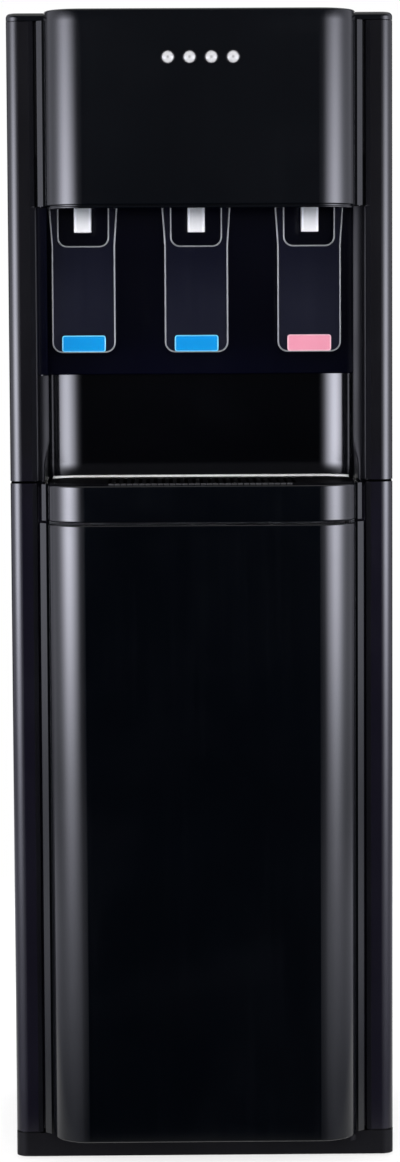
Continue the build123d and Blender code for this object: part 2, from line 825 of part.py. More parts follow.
with BuildPart() as mid_panel:
    add(curved_panel(mid_bottom, deck_z, mid_flange_half, flange_face_y))
    extrude(
        lift(curved_plan(inner_half, inner_front, flange_face_y, inner_corner), mid_bottom + wall),
        mid_height - 2 * wall,
        mode=Mode.SUBTRACT,
    )
    extrude(lift(tray_plan(tray_clearance), deck_z - wall), wall, mode=Mode.SUBTRACT)
    # boss and bore for the upper hinge pin
    with Locations((hinge_x, hinge_y, mid_bottom + upper_boss_height / 2)):
        Cylinder(hinge_boss_radius, upper_boss_height)
    with Locations((hinge_x, hinge_y, mid_bottom + hinge_lug_thickness / 2)):
        Cylinder(hinge_pin_radius, hinge_lug_thickness, mode=Mode.SUBTRACT)
finish(mid_panel.part, "mid_panel")

with BuildPart() as drip_trim:
    trim_front = alcove_back - alcove_corner - trim_reach
    extrude(lift(alcove_plan(0, trim_front, True), deck_z), trim_height)
    extrude(lift(alcove_plan(trim_width, trim_front, True), deck_z), trim_height, mode=Mode.SUBTRACT)
finish(drip_trim.part, "drip_trim")

# ==== drip tray and grille ===========================================================
with BuildPart() as drip_tray:
    extrude(lift(tray_plan(0), rim_top - tray_depth), tray_depth)
    extrude(lift(tray_plan(tray_rim_reach), deck_z), tray_rim)
    fillet(drip_tray.edges().group_by(Axis.Z)[0], 3.0)
    extrude(
        lift(tray_plan(-tray_wall - tray_ledge), rim_top - tray_depth + tray_floor),
        tray_depth,
        mode=Mode.SUBTRACT,
    )
    extrude(lift(tray_plan(-tray_wall), rim_top - tray_ledge_drop), tray_depth, mode=Mode.SUBTRACT)
    ledge_bottom = rim_top - tray_ledge_drop - tray_ledge_height
    extrude(
        lift(tray_plan(-tray_wall), rim_top - tray_depth + tray_floor),
        ledge_bottom - (rim_top - tray_depth + tray_floor),
        mode=Mode.SUBTRACT,
    )
finish(drip_tray.part, "drip_tray")

with BuildPart() as drip_grille:
    extrude(lift(tray_plan(-tray_wall - seat_gap), rim_top - tray_ledge_drop), grille_thickness)
    with BuildSketch(Plane.XY.offset(rim_top - tray_ledge_drop)):
        with Locations((0, (front_y + slot_middle))):
            with GridLocations(slot_pitch, 1, grille_slots, 1):
                SlotOverall(slot_length, slot_width, rotation=90)
    extrude(amount=grille_thickness, mode=Mode.SUBTRACT)
finish(drip_grille.part, "drip_grille")

# ==== door ===========================================================================
with BuildPart() as door_shell:
    add(curved_panel(door_bottom, door_top, door_flange_half, door_back))
    extrude(
        lift(curved_plan(inner_half, inner_front, door_back, inner_corner), door_bottom + wall),
        door_height - 2 * wall,
        mode=Mode.SUBTRACT,
    )
    for boss_bottom in (door_bottom, door_top - hinge_boss_height):
        with Locations((hinge_x, hinge_y, boss_bottom + hinge_boss_height / 2)):
            Cylinder(hinge_boss_radius, hinge_boss_height)
            Cylinder(hinge_pin_radius + pivot_clearance, hinge_boss_height, mode=Mode.SUBTRACT)
finish(door_shell.part, "door_shell")

liner_half = inner_half - 0.2
with BuildPart() as door_liner:
    bar(
        (-liner_half, liner_half),
        (door_back - liner_plate, door_back),
        (door_bottom + wall + 0.2, door_top - wall - 0.2),
    )
    # pressed ribs on the side that faces the bottle
    for rib_x in (-70.0, 0.0, 70.0):
        with BuildSketch(facing(door_back)):
            with Locations((rib_x, (door_bottom + door_top) / 2)):
                SlotOverall(door_height - 110.0, 16.0, rotation=90)
        extrude(amount=-liner_rib)
    # rim that stiffens the plate inside the shell
    for side in (-1, 1):
        outer = side * liner_half
        inner = side * (liner_half - wall)
        bar(
            (min(outer, inner), max(outer, inner)),
            (door_back - liner_plate - 1.4, door_back),
            (door_bottom + 20, door_top - 20),
        )
finish(door_liner.part, "door_liner")

pin_places = [
    plinth_top - hinge_lug_thickness,
    mid_bottom + hinge_lug_thickness - hinge_pin_length,
]
with BuildPart() as door_hinge_pins:
    for pin_bottom in pin_places:
        with BuildSketch(Plane.XY.offset(pin_bottom)):
            with Locations((hinge_x, hinge_y)):
                Circle(hinge_pin_radius)
        extrude(amount=hinge_pin_length)
finish(door_hinge_pins.part, "door_hinge_pins")

with BuildPart() as door_magnet:
    bar(
        (magnet_x - magnet_width / 2, magnet_x + magnet_width / 2),
        (door_back, deck_front - seat_gap),
        (door_top - magnet_drop - magnet_height / 2, door_top - magnet_drop + magnet_height / 2),
    )
    fillet(door_magnet.edges().filter_by(Axis.Y), 2.0)
finish(door_magnet.part, "door_magnet")

# ==== taps ===========================================================================
for tap_name, tap_x in zip(tap_names, tap_xs):
    with BuildPart() as tap_body:
        with BuildSketch(facing(tap_nose)):
            with Locations((tap_x, tap_z)):
                Circle(tap_body_radius)
        extrude(amount=-tap_body_reach)
        fillet(tap_body.edges().group_by(Axis.Y)[0], 3.0)
        with BuildSketch(facing(tap_panel_face - tap_flange)):
            with Locations((tap_x, tap_z)):
                Circle(tap_flange_radius)
        extrude(amount=-tap_flange)
        with BuildSketch(facing(tap_panel_face)):
            with Locations((tap_x, tap_z)):
                Circle(tap_shank_radius)
        extrude(amount=-(alcove_back + liner_wall - tap_panel_face))
        with BuildSketch(facing(tap_panel_face)):
            with Locations((tap_x, tap_z)):
                Circle(tap_tail_radius)
        extrude(amount=-(alcove_back + tap_tail_reach - tap_panel_face))
        with BuildSketch(Plane.XY.offset(tap_z - nozzle_socket_drop)):
            with Locations((tap_x, nozzle_y)):
                Circle(nozzle_socket_radius)
        extrude(amount=nozzle_socket_drop)
        with BuildSketch(Plane.YZ.offset(tap_x)):
            with Locations((trunnion_y, tap_z)):
                Circle(trunnion_radius)
        extrude(amount=window_half + ear_gap + ear_thickness, both=True)
        # plunger bore, water way and outlet
        with BuildSketch(facing(tap_nose + 3.0)):
            with Locations((tap_x, tap_z)):
                Circle(tap_bore_radius)
        extrude(amount=-(tap_body_reach - 6.0), mode=Mode.SUBTRACT)
        with BuildSketch(facing(tap_panel_face - 4.0)):
            with Locations((tap_x, tap_z)):
                Circle(tap_water_way)
        extrude(amount=-(alcove_back + tap_tail_reach - tap_panel_face + 4.0), mode=Mode.SUBTRACT)
        with BuildSketch(Plane.XY.offset(tap_z - nozzle_socket_drop)):
            with Locations((tap_x, nozzle_y)):
                Circle(nozzle_bore)
        extrude(amount=nozzle_socket_drop, mode=Mode.SUBTRACT)
    finish(tap_body.part, f"tap_body_{tap_name}")

    with BuildPart() as tap_nozzle:
        with BuildSketch(Plane.XY.offset(tap_z - nozzle_drop)):
            with Locations((tap_x, nozzle_y)):
                Circle(nozzle_radius)
                Circle(nozzle_bore, mode=Mode.SUBTRACT)
        extrude(amount=nozzle_drop - nozzle_socket_drop)
        fillet(tap_nozzle.edges().group_by(Axis.Z)[0], 0.8)
    finish(tap_nozzle.part, f"tap_nozzle_{tap_name}")

    with BuildPart() as tap_plunger:
        plunger_front = nozzle_y + nozzle_bore + 1.0
        with BuildSketch(facing(plunger_front)):
            with Locations((tap_x, tap_z)):
                Circle(tap_bore_radius - plunger_clearance)
        extrude(amount=-plunger_length)
        with BuildSketch(facing(plunger_front)):
            with Locations((tap_x, tap_z)):
                Circle(plunger_stem_radius)
        extrude(amount=-plunger_stem)
    finish(tap_plunger.part, f"tap_plunger_{tap_name}")

    with BuildPart() as paddle:
        with BuildSketch(facing(paddle_face)) as paddle_plan:
            with BuildLine():
                Polyline(
                    (tap_x - paddle_top_half, tap_z - paddle_top_drop),
                    (tap_x - paddle_top_half, tap_z - paddle_flare_drop),
                    (tap_x - paddle_half, tap_z - paddle_straight_drop),
                    (tap_x - paddle_half, paddle_bottom),
                    (tap_x + paddle_half, paddle_bottom),
                    (tap_x + paddle_half, tap_z - paddle_straight_drop),
                    (tap_x + paddle_top_half, tap_z - paddle_flare_drop),
                    (tap_x + paddle_top_half, tap_z - paddle_top_drop),
                    close=True,
                )
            make_face()
            with Locations((tap_x, tap_z - window_drop / 2)):
                Rectangle(2 * window_half, window_drop, mode=Mode.SUBTRACT)
            fillet(paddle_plan.vertices().group_by(Axis.Y)[0], radius=paddle_corner)
            window_corners = paddle_plan.vertices().filter_by(
                lambda vertex: abs(abs(vertex.X - tap_x) - window_half) < 0.01 and vertex.Y < tap_z - window_drop + 1
            )
            fillet(window_corners, radius=window_corner)
        extrude(amount=-paddle_thickness)
        # raised bead round the outline, left out where the tag sits
        with BuildSketch(facing(paddle_face)):
            add(paddle_plan.sketch_local)
            offset(paddle_plan.sketch_local, amount=-bead_width, kind=Kind.INTERSECTION, mode=Mode.SUBTRACT)
            with Locations((tap_x, paddle_bottom)):
                Rectangle(2 * (tag_half + 0.5), 2 * tag_height, mode=Mode.SUBTRACT)
        extrude(amount=bead_height)
        # ears that hang on the trunnions
        for side in (-1, 1):
            ear_inner = tap_x + side * (window_half + ear_gap)
            with BuildSketch(Plane.YZ.offset(ear_inner)):
                with Locations((trunnion_y, tap_z)):
                    Circle(ear_radius)
                with Locations(((paddle_face + trunnion_y + ear_radius) / 2, tap_z - paddle_flare_drop / 2)):
                    Rectangle(trunnion_y + ear_radius - paddle_face, paddle_flare_drop)
                with Locations((trunnion_y, tap_z)):
                    Circle(trunnion_radius + pivot_clearance, mode=Mode.SUBTRACT)
            extrude(amount=side * ear_thickness)
    finish(paddle.part, f"paddle_{tap_name}")

    with BuildPart() as paddle_tag:
        with BuildSketch(facing(paddle_face)):
            with Locations((tap_x, paddle_bottom + tag_rise + tag_height / 2)):
                RectangleRounded(2 * tag_half, tag_height, tag_corner)
        extrude(amount=tag_thickness)
        fillet(paddle_tag.edges().group_by(Axis.Y)[0], 0.6)
    finish(paddle_tag.part, f"paddle_tag_{tap_name}")

# ==== tanks ==========================================================================
jacket_x = (cold_jacket_left, cold_jacket_right)
jacket_y = (cold_jacket_front, cold_jacket_back)
jacket_z = (shelf_z, shelf_z + cold_jacket_height)
tank_x = (jacket_x[0] + jacket_wall, jacket_x[1] - jacket_wall)
tank_y = (jacket_y[0] + jacket_wall, jacket_y[1] - jacket_wall)
tank_z = (jacket_z[0] + jacket_wall, jacket_z[1] - jacket_wall)
cold_taps = [(x, tap_z) for x in tap_xs[:2]]
riser_top = tank_z[1] - 20.0



def cold_tank_form(inset):
    """The cold tank's block with rounded uprights, shrunk all round by an inset."""
    with BuildPart() as form:
        bar(
            (tank_x[0] + inset, tank_x[1] - inset),
            (tank_y[0] + inset, tank_y[1] - inset),
            (tank_z[0] + inset, tank_z[1] - inset),
        )
        fillet(form.edges().filter_by(Axis.Z), tank_corner - inset)
    return form.part


with BuildPart() as cold_tank:
    add(cold_tank_form(0))
    add(cold_tank_form(tank_wall), mode=Mode.SUBTRACT)
    # ports
    with BuildSketch(facing(tank_y[0])):
        with Locations(*cold_taps):
            Circle(tube_bore)
    extrude(amount=-2 * tank_wall, mode=Mode.SUBTRACT)
    with BuildSketch(Plane.XY.offset(tank_z[0])):
        with Locations((feed_x, hot_y)):
            Circle(tube_bore)
    extrude(amount=2 * tank_wall, mode=Mode.SUBTRACT)
    with BuildSketch(Plane.YZ.offset(tank_x[0])):
        with Locations((riser_y, riser_top)):
            Circle(tube_bore)
    extrude(amount=2 * tank_wall, mode=Mode.SUBTRACT)
finish(cold_tank.part, "cold_tank")

with BuildPart() as cold_tank_jacket:
    bar(jacket_x, jacket_y, jacket_z)
    fillet(cold_tank_jacket.edges().filter_by(Axis.Z), jacket_corner)
    add(cold_tank_form(0), mode=Mode.SUBTRACT)
    with BuildSketch(facing(tank_y[1])):
        with Locations((cooler_x, cooler_z)):
            Rectangle(cold_block_size, cold_block_size)
    extrude(amount=-2 * jacket_wall, mode=Mode.SUBTRACT)
    with BuildSketch(facing(jacket_y[0] - 1)):
        with Locations(*cold_taps):
            Circle(tube_hole)
    extrude(amount=-jacket_wall - 1, mode=Mode.SUBTRACT)
    with BuildSketch(Plane.XY.offset(shelf_z)):
        with Locations((feed_x, hot_y)):
            Circle(tube_hole)
    extrude(amount=jacket_wall, mode=Mode.SUBTRACT)
    with BuildSketch(Plane.YZ.offset(jacket_x[0])):
        with Locations((riser_y, riser_top)):
            Circle(tube_hole)
    extrude(amount=jacket_wall, mode=Mode.SUBTRACT)
finish(cold_tank_jacket.part, "cold_tank_jacket")

hot_base = deck_top + hot_tank_base
hot_ports = [(outlet_x, hot_y), (feed_x, hot_y)]


def hot_tank_form(inset):
    """The hot tank's rounded cylinder, shrunk all round by an inset."""
    with BuildPart() as form:
        with BuildSketch(Plane.XY.offset(hot_base + inset)):
            with Locations((hot_x, hot_y)):
                Circle(hot_tank_radius - inset)
        extrude(amount=hot_tank_height - 2 * inset)
        fillet(form.edges(), hot_tank_dome - inset)
    return form.part


with BuildPart() as hot_tank:
    add(hot_tank_form(0))
    add(hot_tank_form(tank_wall), mode=Mode.SUBTRACT)
    # ports
    with BuildSketch(Plane.XY.offset(hot_base + hot_tank_height)):
        with Locations(*hot_ports):
            Circle(tube_bore)
    extrude(amount=-2 * tank_wall, mode=Mode.SUBTRACT)
    with BuildSketch(facing(hot_y + hot_tank_radius)):
        with Locations((drain_x, drain_z)):
            Circle(tube_bore)
    extrude(amount=2 * tank_wall, mode=Mode.SUBTRACT)
finish(hot_tank.part, "hot_tank")

with BuildPart() as hot_tank_jacket:
    with BuildSketch(Plane.XY.offset(deck_top)):
        with Locations((hot_x, hot_y)):
            Circle(hot_jacket_radius)
    extrude(amount=hot_jacket_height)
    fillet(hot_tank_jacket.edges().group_by(Axis.Z)[-1], 6.0)
    add(hot_tank_form(0), mode=Mode.SUBTRACT)
    with BuildSketch(Plane.XY.offset(hot_base + hot_tank_height - 1)):
        with Locations(*hot_ports):
            Circle(tube_hole)
    extrude(amount=hot_jacket_height, mode=Mode.SUBTRACT)
    with BuildSketch(facing(hot_y + hot_tank_radius - 4)):
        with Locations((drain_x, drain_z)):
            Circle(tube_hole)
    extrude(amount=-hot_jacket_radius, mode=Mode.SUBTRACT)
finish(hot_tank_jacket.part, "hot_tank_jacket")

# ==== thermoelectric cooling =========================================================
cold_block_back = jacket_y[1] + cold_block_proud
peltier_back = cold_block_back + peltier_thickness
sink_back = peltier_back + sink_depth


def square_block(size, front, back):
    """A square block centred on the cooling axis."""
    bar(
        (cooler_x - size / 2, cooler_x + size / 2),
        (front, back),
        (cooler_z - size / 2, cooler_z + size / 2),
    )


with BuildPart() as cold_block:
    square_block(cold_block_size, tank_y[1], cold_block_back)
finish(cold_block.part, "cold_block")

with BuildPart() as peltier_module:
    square_block(peltier_size, cold_block_back, peltier_back)
finish(peltier_module.part, "peltier_module")

with BuildPart() as heat_sink:
    square_block(sink_size, peltier_back, peltier_back + sink_base)
    fin_pitch = (sink_size - fin_thickness) / (fin_count - 1)
    with BuildSketch(facing(peltier_back + sink_base)):
        with Locations((cooler_x, cooler_z)):
            with GridLocations(fin_pitch, 1, fin_count, 1):
                Rectangle(fin_thickness, sink_size)
    extrude(amount=-(sink_depth - sink_base))
finish(heat_sink.part, "heat_sink")

fan_front = rear_face - fan_depth
rotor_front = fan_front + fan_cup_depth + 1.0
rotor_depth = 14.0
strut_width = 5.0
screw_hole_pitch = 82.5
blade_tip = fan_bore - fan_tip_clearance
blade_thickness = 1.6
with BuildPart() as fan_frame:
    with BuildSketch(facing(fan_front)):
        with Locations((cooler_x, cooler_z)):
            RectangleRounded(fan_size, fan_size, 4.0)
            Circle(fan_bore, mode=Mode.SUBTRACT)
            with GridLocations(screw_hole_pitch, screw_hole_pitch, 2, 2):
                Circle(2.2, mode=Mode.SUBTRACT)
    extrude(amount=-fan_depth)
    with BuildSketch(facing(fan_front)):
        with Locations((cooler_x, cooler_z)):
            Circle(fan_hub_radius)
            Rectangle(2 * fan_bore + 1, strut_width)
            Rectangle(strut_width, 2 * fan_bore + 1)
    extrude(amount=-fan_cup_depth)
    with BuildSketch(facing(fan_front)):
        with Locations((cooler_x, cooler_z)):
            Circle(fan_shaft_radius)
    extrude(amount=-(fan_cup_depth + rotor_depth - 1.0))
finish(fan_frame.part, "fan_frame")

with BuildPart() as fan_rotor:
    with BuildSketch(facing(rotor_front)):
        with Locations((cooler_x, cooler_z)):
            Circle(fan_hub_radius)
    extrude(amount=-rotor_depth)
    blade_twist = 32.0
    for index in range(fan_blades):
        turn = 360 / fan_blades * index
        blade_plane = Plane(
            origin=(cooler_x, rotor_front + rotor_depth / 2, cooler_z),
            x_dir=(0, 1, 0),
            z_dir=(cos(radians(turn)), 0, sin(radians(turn))),
        )
        with BuildSketch(blade_plane.offset(fan_hub_radius - 1.5)):
            Rectangle(rotor_depth + 1.5, blade_thickness, rotation=blade_twist + 14)
        with BuildSketch(blade_plane.offset(blade_tip)):
            Rectangle(rotor_depth + 3.0, blade_thickness, rotation=blade_twist)
        loft()
    with BuildSketch(facing(rotor_front - 2)):
        with Locations((cooler_x, cooler_z)):
            Circle(fan_shaft_radius + pivot_clearance)
    extrude(amount=-(rotor_depth + 1.0), mode=Mode.SUBTRACT)
finish(fan_rotor.part, "fan_rotor")

# ==== pump, probe and tubes ==========================================================
pump_z = deck_top + pump_axis_rise
pump_head_front = pump_back - pump_head
pump_head_half = 20.0
with BuildPart() as water_pump:
    bar(
        (pump_x - pump_width / 2, pump_x + pump_width / 2),
        (pump_head_front - pump_motor_length, pump_back),
        (deck_top, deck_top + pump_base),
    )
    bar(
        (pump_x - pump_width / 2, pump_x + pump_width / 2),
        (pump_head_front, pump_back),
        (deck_top, pump_z + pump_head_half),
    )
    with BuildSketch(facing(pump_head_front)):
        with Locations((pump_x, pump_z)):
            Circle(pump_motor_radius)
    extrude(amount=pump_motor_length)
    for cradle_y in (pump_head_front - 8.0, pump_head_front - pump_motor_length + 8.0):
        bar(
            (pump_x - pump_motor_radius * 0.8, pump_x + pump_motor_radius * 0.8),
            (cradle_y - 2.0, cradle_y + 2.0),
            (deck_top, pump_z),
        )
    with BuildSketch(facing(pump_back)):
        with Locations((pump_x, pump_z)):
            Circle(barb_radius)
    extrude(amount=-barb_length)
    with BuildSketch(Plane.XY.offset(pump_z + pump_head_half)):
        with Locations((riser_x, riser_y)):
            Circle(barb_radius)
    extrude(amount=barb_length)
finish(water_pump.part, "water_pump")

hanger_top = deck_top - hanger_drop + deck_sheet
probe_cap_top = deck_top - hanger_drop - seat_gap
with BuildPart() as bottle_probe:
    with BuildSketch(Plane.XY.offset(probe_cap_top - probe_cap_height - probe_tube_length)):
        with Locations((probe_x, probe_y)):
            Circle(probe_tube_radius)
            Circle(barb_radius, mode=Mode.SUBTRACT)
    extrude(amount=probe_tube_length + 2.0)
    with BuildSketch(Plane.XY.offset(probe_cap_top - probe_cap_height)):
        with Locations((probe_x, probe_y)):
            Circle(probe_cap_radius)
    extrude(amount=probe_cap_height)
    fillet(bottle_probe.edges().group_by(Axis.Z)[-1], 4.0)
    with BuildSketch(Plane.XY.offset(probe_cap_top - 1.0)):
        with Locations((probe_x, probe_y)):
            Circle(probe_neck_radius)
    extrude(amount=hanger_top - probe_cap_top + 1.0)
    with BuildSketch(Plane.XY.offset(hanger_top)):
        with Locations((probe_x, probe_y)):
            Circle(probe_neck_radius + 5.0)
    extrude(amount=4.0)
    with BuildSketch(Plane.XY.offset(hanger_top + 4.0)):
        with Locations((probe_x, probe_y)):
            Circle(barb_radius)
    extrude(amount=barb_length)
finish(bottle_probe.part, "bottle_probe")


def arc_radii(points, end_straight=barb_length):
    """The largest arcs that the runs of a tube leave room for, with both its ends straight."""
    runs = [Vector(*after) - Vector(*before) for before, after in zip(points, points[1:])]
    rooms = [run.length / 2 for run in runs]
    rooms[0] = runs[0].length - barb_length
    rooms[-1] = runs[-1].length - end_straight
    radii = []
    for index in range(len(runs) - 1):
        half_turn = radians(runs[index].get_angle(runs[index + 1]) / 2)
        radii.append(0.95 * min(rooms[index : index + 2]) * cos(half_turn) / sin(half_turn))
    return radii


hose_start = hanger_top + 4.0
hose_route = [
    (probe_x, probe_y, hose_start),
    (probe_x, probe_y, pump_z),
    (pump_x, pump_back, pump_z),
]
probe_hose_part = tube_along(hose_route, arc_radii(hose_route))
finish(probe_hose_part, "probe_hose")

hot_tank_top = hot_base + hot_tank_height
tail_end = alcove_back + tap_tail_reach
riser_bottom = pump_z + pump_head_half
hot_tap_x = tap_xs[2]
tube_routes = [
    [(tap_xs[0], tail_end, tap_z), (tap_xs[0], tank_y[0], tap_z)],
    [(tap_xs[1], tail_end, tap_z), (tap_xs[1], tank_y[0], tap_z)],
    [(feed_x, hot_y, hot_tank_top), (feed_x, hot_y, tank_z[0])],
    [
        (outlet_x, hot_y, hot_tank_top),
        (outlet_x, hot_y, tap_z - 4.0),
        (hot_tap_x, (tail_end + hot_y) / 2, tap_z),
        (hot_tap_x, tail_end, tap_z),
    ],
    [
        (riser_x, riser_y, riser_bottom),
        (riser_x, riser_y, riser_top),
        (tank_x[0], riser_y, riser_top),
    ],
    [(drain_x, hot_y + hot_tank_radius, drain_z), (drain_x, rear_face - 8.0, drain_z)],
]
with BuildPart() as water_tubes:
    for route in tube_routes:
        add(tube_along(route, arc_radii(route, end_straight=jacket_wall)))
finish(water_tubes.part, "water_tubes")

# ==== electrics ======================================================================
board_x = half_width - 25.0
board_front = 20.0
board_depth = 100.0
board_height = 100.0
board_rise = 17.0
board_z = shelf_z + board_rise
with BuildPart() as power_board:
    bar((board_x, board_x + 1.6), (board_front, board_front + board_depth), (board_z, board_z + board_height))
    with BuildSketch(Plane.YZ.offset(board_x + 1.6)):
        with Locations((board_front + board_depth / 2, board_z + board_height / 2)):
            with GridLocations(board_depth - 12, board_height - 12, 2, 2):
                Circle(3.0)
    extrude(amount=inside_half - board_x - 1.6)
    # transformer, relay, terminal strip and two capacitors, each placed by its share of the board
    for reach, from_front, to_back, low, high in (
        (0.30, 0.08, 0.52, 0.10, 0.50),
        (0.16, 0.60, 0.78, 0.12, 0.42),
        (0.12, 0.10, 0.60, 0.78, 0.90),
    ):
        bar(
            (board_x - reach * board_depth, board_x),
            (board_front + from_front * board_depth, board_front + to_back * board_depth),
            (board_z + low * board_height, board_z + high * board_height),
        )
    capacitor_z = board_z + 0.64 * board_height
    with BuildSketch(Plane.YZ.offset(board_x)):
        with Locations(
            (board_front + 0.72 * board_depth, capacitor_z),
            (board_front + 0.50 * board_depth, capacitor_z),
        ):
            Circle(0.07 * board_depth)
    extrude(amount=-0.22 * board_depth)
finish(power_board.part, "power_board")

gland_bore = 4.0
with BuildPart() as cord_inlet:
    with BuildSketch(facing(rear_plane)):
        with Locations((inlet_x, inlet_z)):
            Circle(inlet_radius + 3.5)
            Circle(gland_bore, mode=Mode.SUBTRACT)
    extrude(amount=-3.0)
    with BuildSketch(facing(rear_plane + 3.0)):
        with Locations((inlet_x, inlet_z)):
            Circle(inlet_radius - 1.0)
            Circle(gland_bore, mode=Mode.SUBTRACT)
    extrude(amount=-4.0)
    with BuildSketch(facing(rear_face - 6.0)):
        with Locations((inlet_x, inlet_z)):
            Circle(inlet_radius)
            Circle(gland_bore, mode=Mode.SUBTRACT)
    extrude(amount=-(sheet + 6.0))
    with BuildSketch(facing(rear_face - 4.0)):
        with Locations((inlet_x, inlet_z)):
            RegularPolygon(inlet_radius + 4.0, 6)
            Circle(inlet_radius, mode=Mode.SUBTRACT)
    extrude(amount=-4.0)
finish(cord_inlet.part, "cord_inlet")

rocker_half = 9.0
rocker_width = 19.0
rocker_tilt = 7.0
rocker_pivot_inset = 3.0
rocker_pivot_radius = 1.4
rocker_window = 20.2
rocker_pitch = 23.2
bezel_depth = 14.0
bezel_flange = 2.0
rocker_pivot_y = rear_plane - rocker_pivot_inset
rocker_xs = [switch_x - rocker_pitch / 2, switch_x + rocker_pitch / 2]
with BuildPart() as switch_bezel:
    with BuildSketch(facing(rear_plane)):
        with Locations((switch_x, switch_z)):
            RectangleRounded(bezel_width, bezel_height, 3.0)
    extrude(amount=-bezel_flange)
    with BuildSketch(facing(rear_plane)):
        with Locations((switch_x, switch_z)):
            Rectangle(bezel_hole_width, bezel_hole_height)
    extrude(amount=bezel_depth)
    for rocker_x in rocker_xs:
        with BuildSketch(facing(rear_plane + bezel_flange)):
            with Locations((rocker_x, switch_z)):
                Rectangle(rocker_window, 2 * rocker_half + 2.0)
        extrude(amount=bezel_depth + bezel_flange, mode=Mode.SUBTRACT)
        with BuildSketch(Plane.YZ.offset(rocker_x)):
            with Locations((rocker_pivot_y, switch_z)):
                Circle(rocker_pivot_radius + pivot_clearance)
        extrude(amount=rocker_pitch / 2, both=True, mode=Mode.SUBTRACT)
finish(switch_bezel.part, "switch_bezel")

for switch_name, rocker_x in zip(("heating_switch", "cooling_switch"), rocker_xs):
    with BuildPart() as rocker:
        with BuildSketch(Plane.YZ.offset(rocker_x)):
            with BuildLine():
                crown = rear_plane + bezel_flange
                Polyline(
                    (rocker_pivot_y - 4.0, switch_z - 5.0),
                    (rocker_pivot_y, switch_z - rocker_half),
                    (crown + 1.4, switch_z - rocker_half),
                    (crown + 0.4, switch_z),
                    (crown + 1.4, switch_z + rocker_half),
                    (rocker_pivot_y, switch_z + rocker_half),
                    (rocker_pivot_y - 4.0, switch_z + 5.0),
                    close=True,
                )
            make_face()
        extrude(amount=rocker_width / 2, both=True)
        with BuildSketch(Plane.YZ.offset(rocker_x)):
            with Locations((rocker_pivot_y, switch_z)):
                Circle(rocker_pivot_radius)
        extrude(amount=rocker_window / 2 + 1.0, both=True)
    at_rest = rocker.part.rotate(Axis((rocker_x, rocker_pivot_y, switch_z), (1, 0, 0)), -rocker_tilt)
    finish(at_rest, switch_name)

# ==== drain ==========================================================================
cap_front = rear_plane + drain_flange + seat_gap
cap_flutes = 12
with BuildPart() as drain_outlet:
    with BuildSketch(facing(rear_plane)):
        with Locations((drain_x, drain_z)):
            Circle(drain_flange_radius)
    extrude(amount=-drain_flange)
    with BuildSketch(facing(rear_face - 8.0)):
        with Locations((drain_x, drain_z)):
            Circle(drain_radius)
    extrude(amount=-(half_depth - drain_cap_wall - seat_gap - rear_face + 8.0))
    with BuildSketch(facing(rear_face - 8.0)):
        with Locations((drain_x, drain_z)):
            Circle(drain_bore)
    extrude(amount=-(half_depth - rear_face + 8.0), mode=Mode.SUBTRACT)
finish(drain_outlet.part, "drain_outlet")

with BuildPart() as drain_cap:
    with BuildSketch(facing(cap_front)):
        with Locations((drain_x, drain_z)):
            Circle(drain_cap_radius)
            with PolarLocations(drain_cap_radius + 0.6, cap_flutes):
                Circle(1.6, mode=Mode.SUBTRACT)
    extrude(amount=-(half_depth - cap_front))
    with BuildSketch(facing(cap_front)):
        with Locations((drain_x, drain_z)):
            Circle(drain_radius + seat_gap)
    extrude(amount=-(half_depth - cap_front - drain_cap_wall), mode=Mode.SUBTRACT)
finish(drain_cap.part, "drain_cap")

with BuildPart() as panel_screws:
    for side in (-1, 1):
        with BuildSketch(facing(rear_face)):
            with Locations(*[(side * screw_x, z) for z in lower_screw_zs + upper_screw_zs]):
                Circle(screw_radius)
        extrude(amount=-2 * sheet)
        with BuildSketch(facing(cabinet_back)):
            with Locations(*[(side * screw_x, z) for z in lower_screw_zs + upper_screw_zs]):
                Circle(screw_head_radius)
        extrude(amount=-screw_head)
finish(panel_screws.part, "panel_screws")
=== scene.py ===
import math
import bmesh
import bpy
import numpy as np
from mathutils import Matrix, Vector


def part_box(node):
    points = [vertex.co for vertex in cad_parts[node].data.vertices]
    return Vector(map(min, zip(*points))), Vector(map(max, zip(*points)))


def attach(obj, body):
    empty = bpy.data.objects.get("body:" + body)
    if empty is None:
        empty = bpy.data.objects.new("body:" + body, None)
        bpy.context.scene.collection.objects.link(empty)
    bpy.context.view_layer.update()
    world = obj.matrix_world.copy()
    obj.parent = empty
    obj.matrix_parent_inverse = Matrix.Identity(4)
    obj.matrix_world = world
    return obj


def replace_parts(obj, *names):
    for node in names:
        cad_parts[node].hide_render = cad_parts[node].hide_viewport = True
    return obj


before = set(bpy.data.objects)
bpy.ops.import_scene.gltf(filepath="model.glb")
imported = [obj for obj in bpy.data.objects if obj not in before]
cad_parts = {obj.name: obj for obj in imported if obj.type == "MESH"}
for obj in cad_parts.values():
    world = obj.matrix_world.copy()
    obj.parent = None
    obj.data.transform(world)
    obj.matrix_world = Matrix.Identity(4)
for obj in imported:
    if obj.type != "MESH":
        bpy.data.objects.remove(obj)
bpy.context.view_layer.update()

scene = bpy.context.scene
scene.view_settings.view_transform = "Standard"
print("frame loaded:", len(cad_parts), "nodes")

# camera fitted to the straight edges of the photograph, in metres, degrees and pixels
cameraFit = {
    "place": (-0.0312, -3.12224, 0.79195),
    "tilt": 4.885,
    "roll": -0.312,
    "yaw": 0.561,
    "focalPixels": 3270.118,
    "imageHeight": 1162,
    "sensor": 36.0,
    "clip": (0.05, 60.0),
}


def standAt(thing, right, up, back, place):
    # its matrix has the three axes and the place as columns
    matrix = np.eye(4)
    matrix[:3] = np.stack([right, up, back, place], axis=1)
    scene.collection.objects.link(thing)
    thing.matrix_world = Matrix(matrix.tolist())


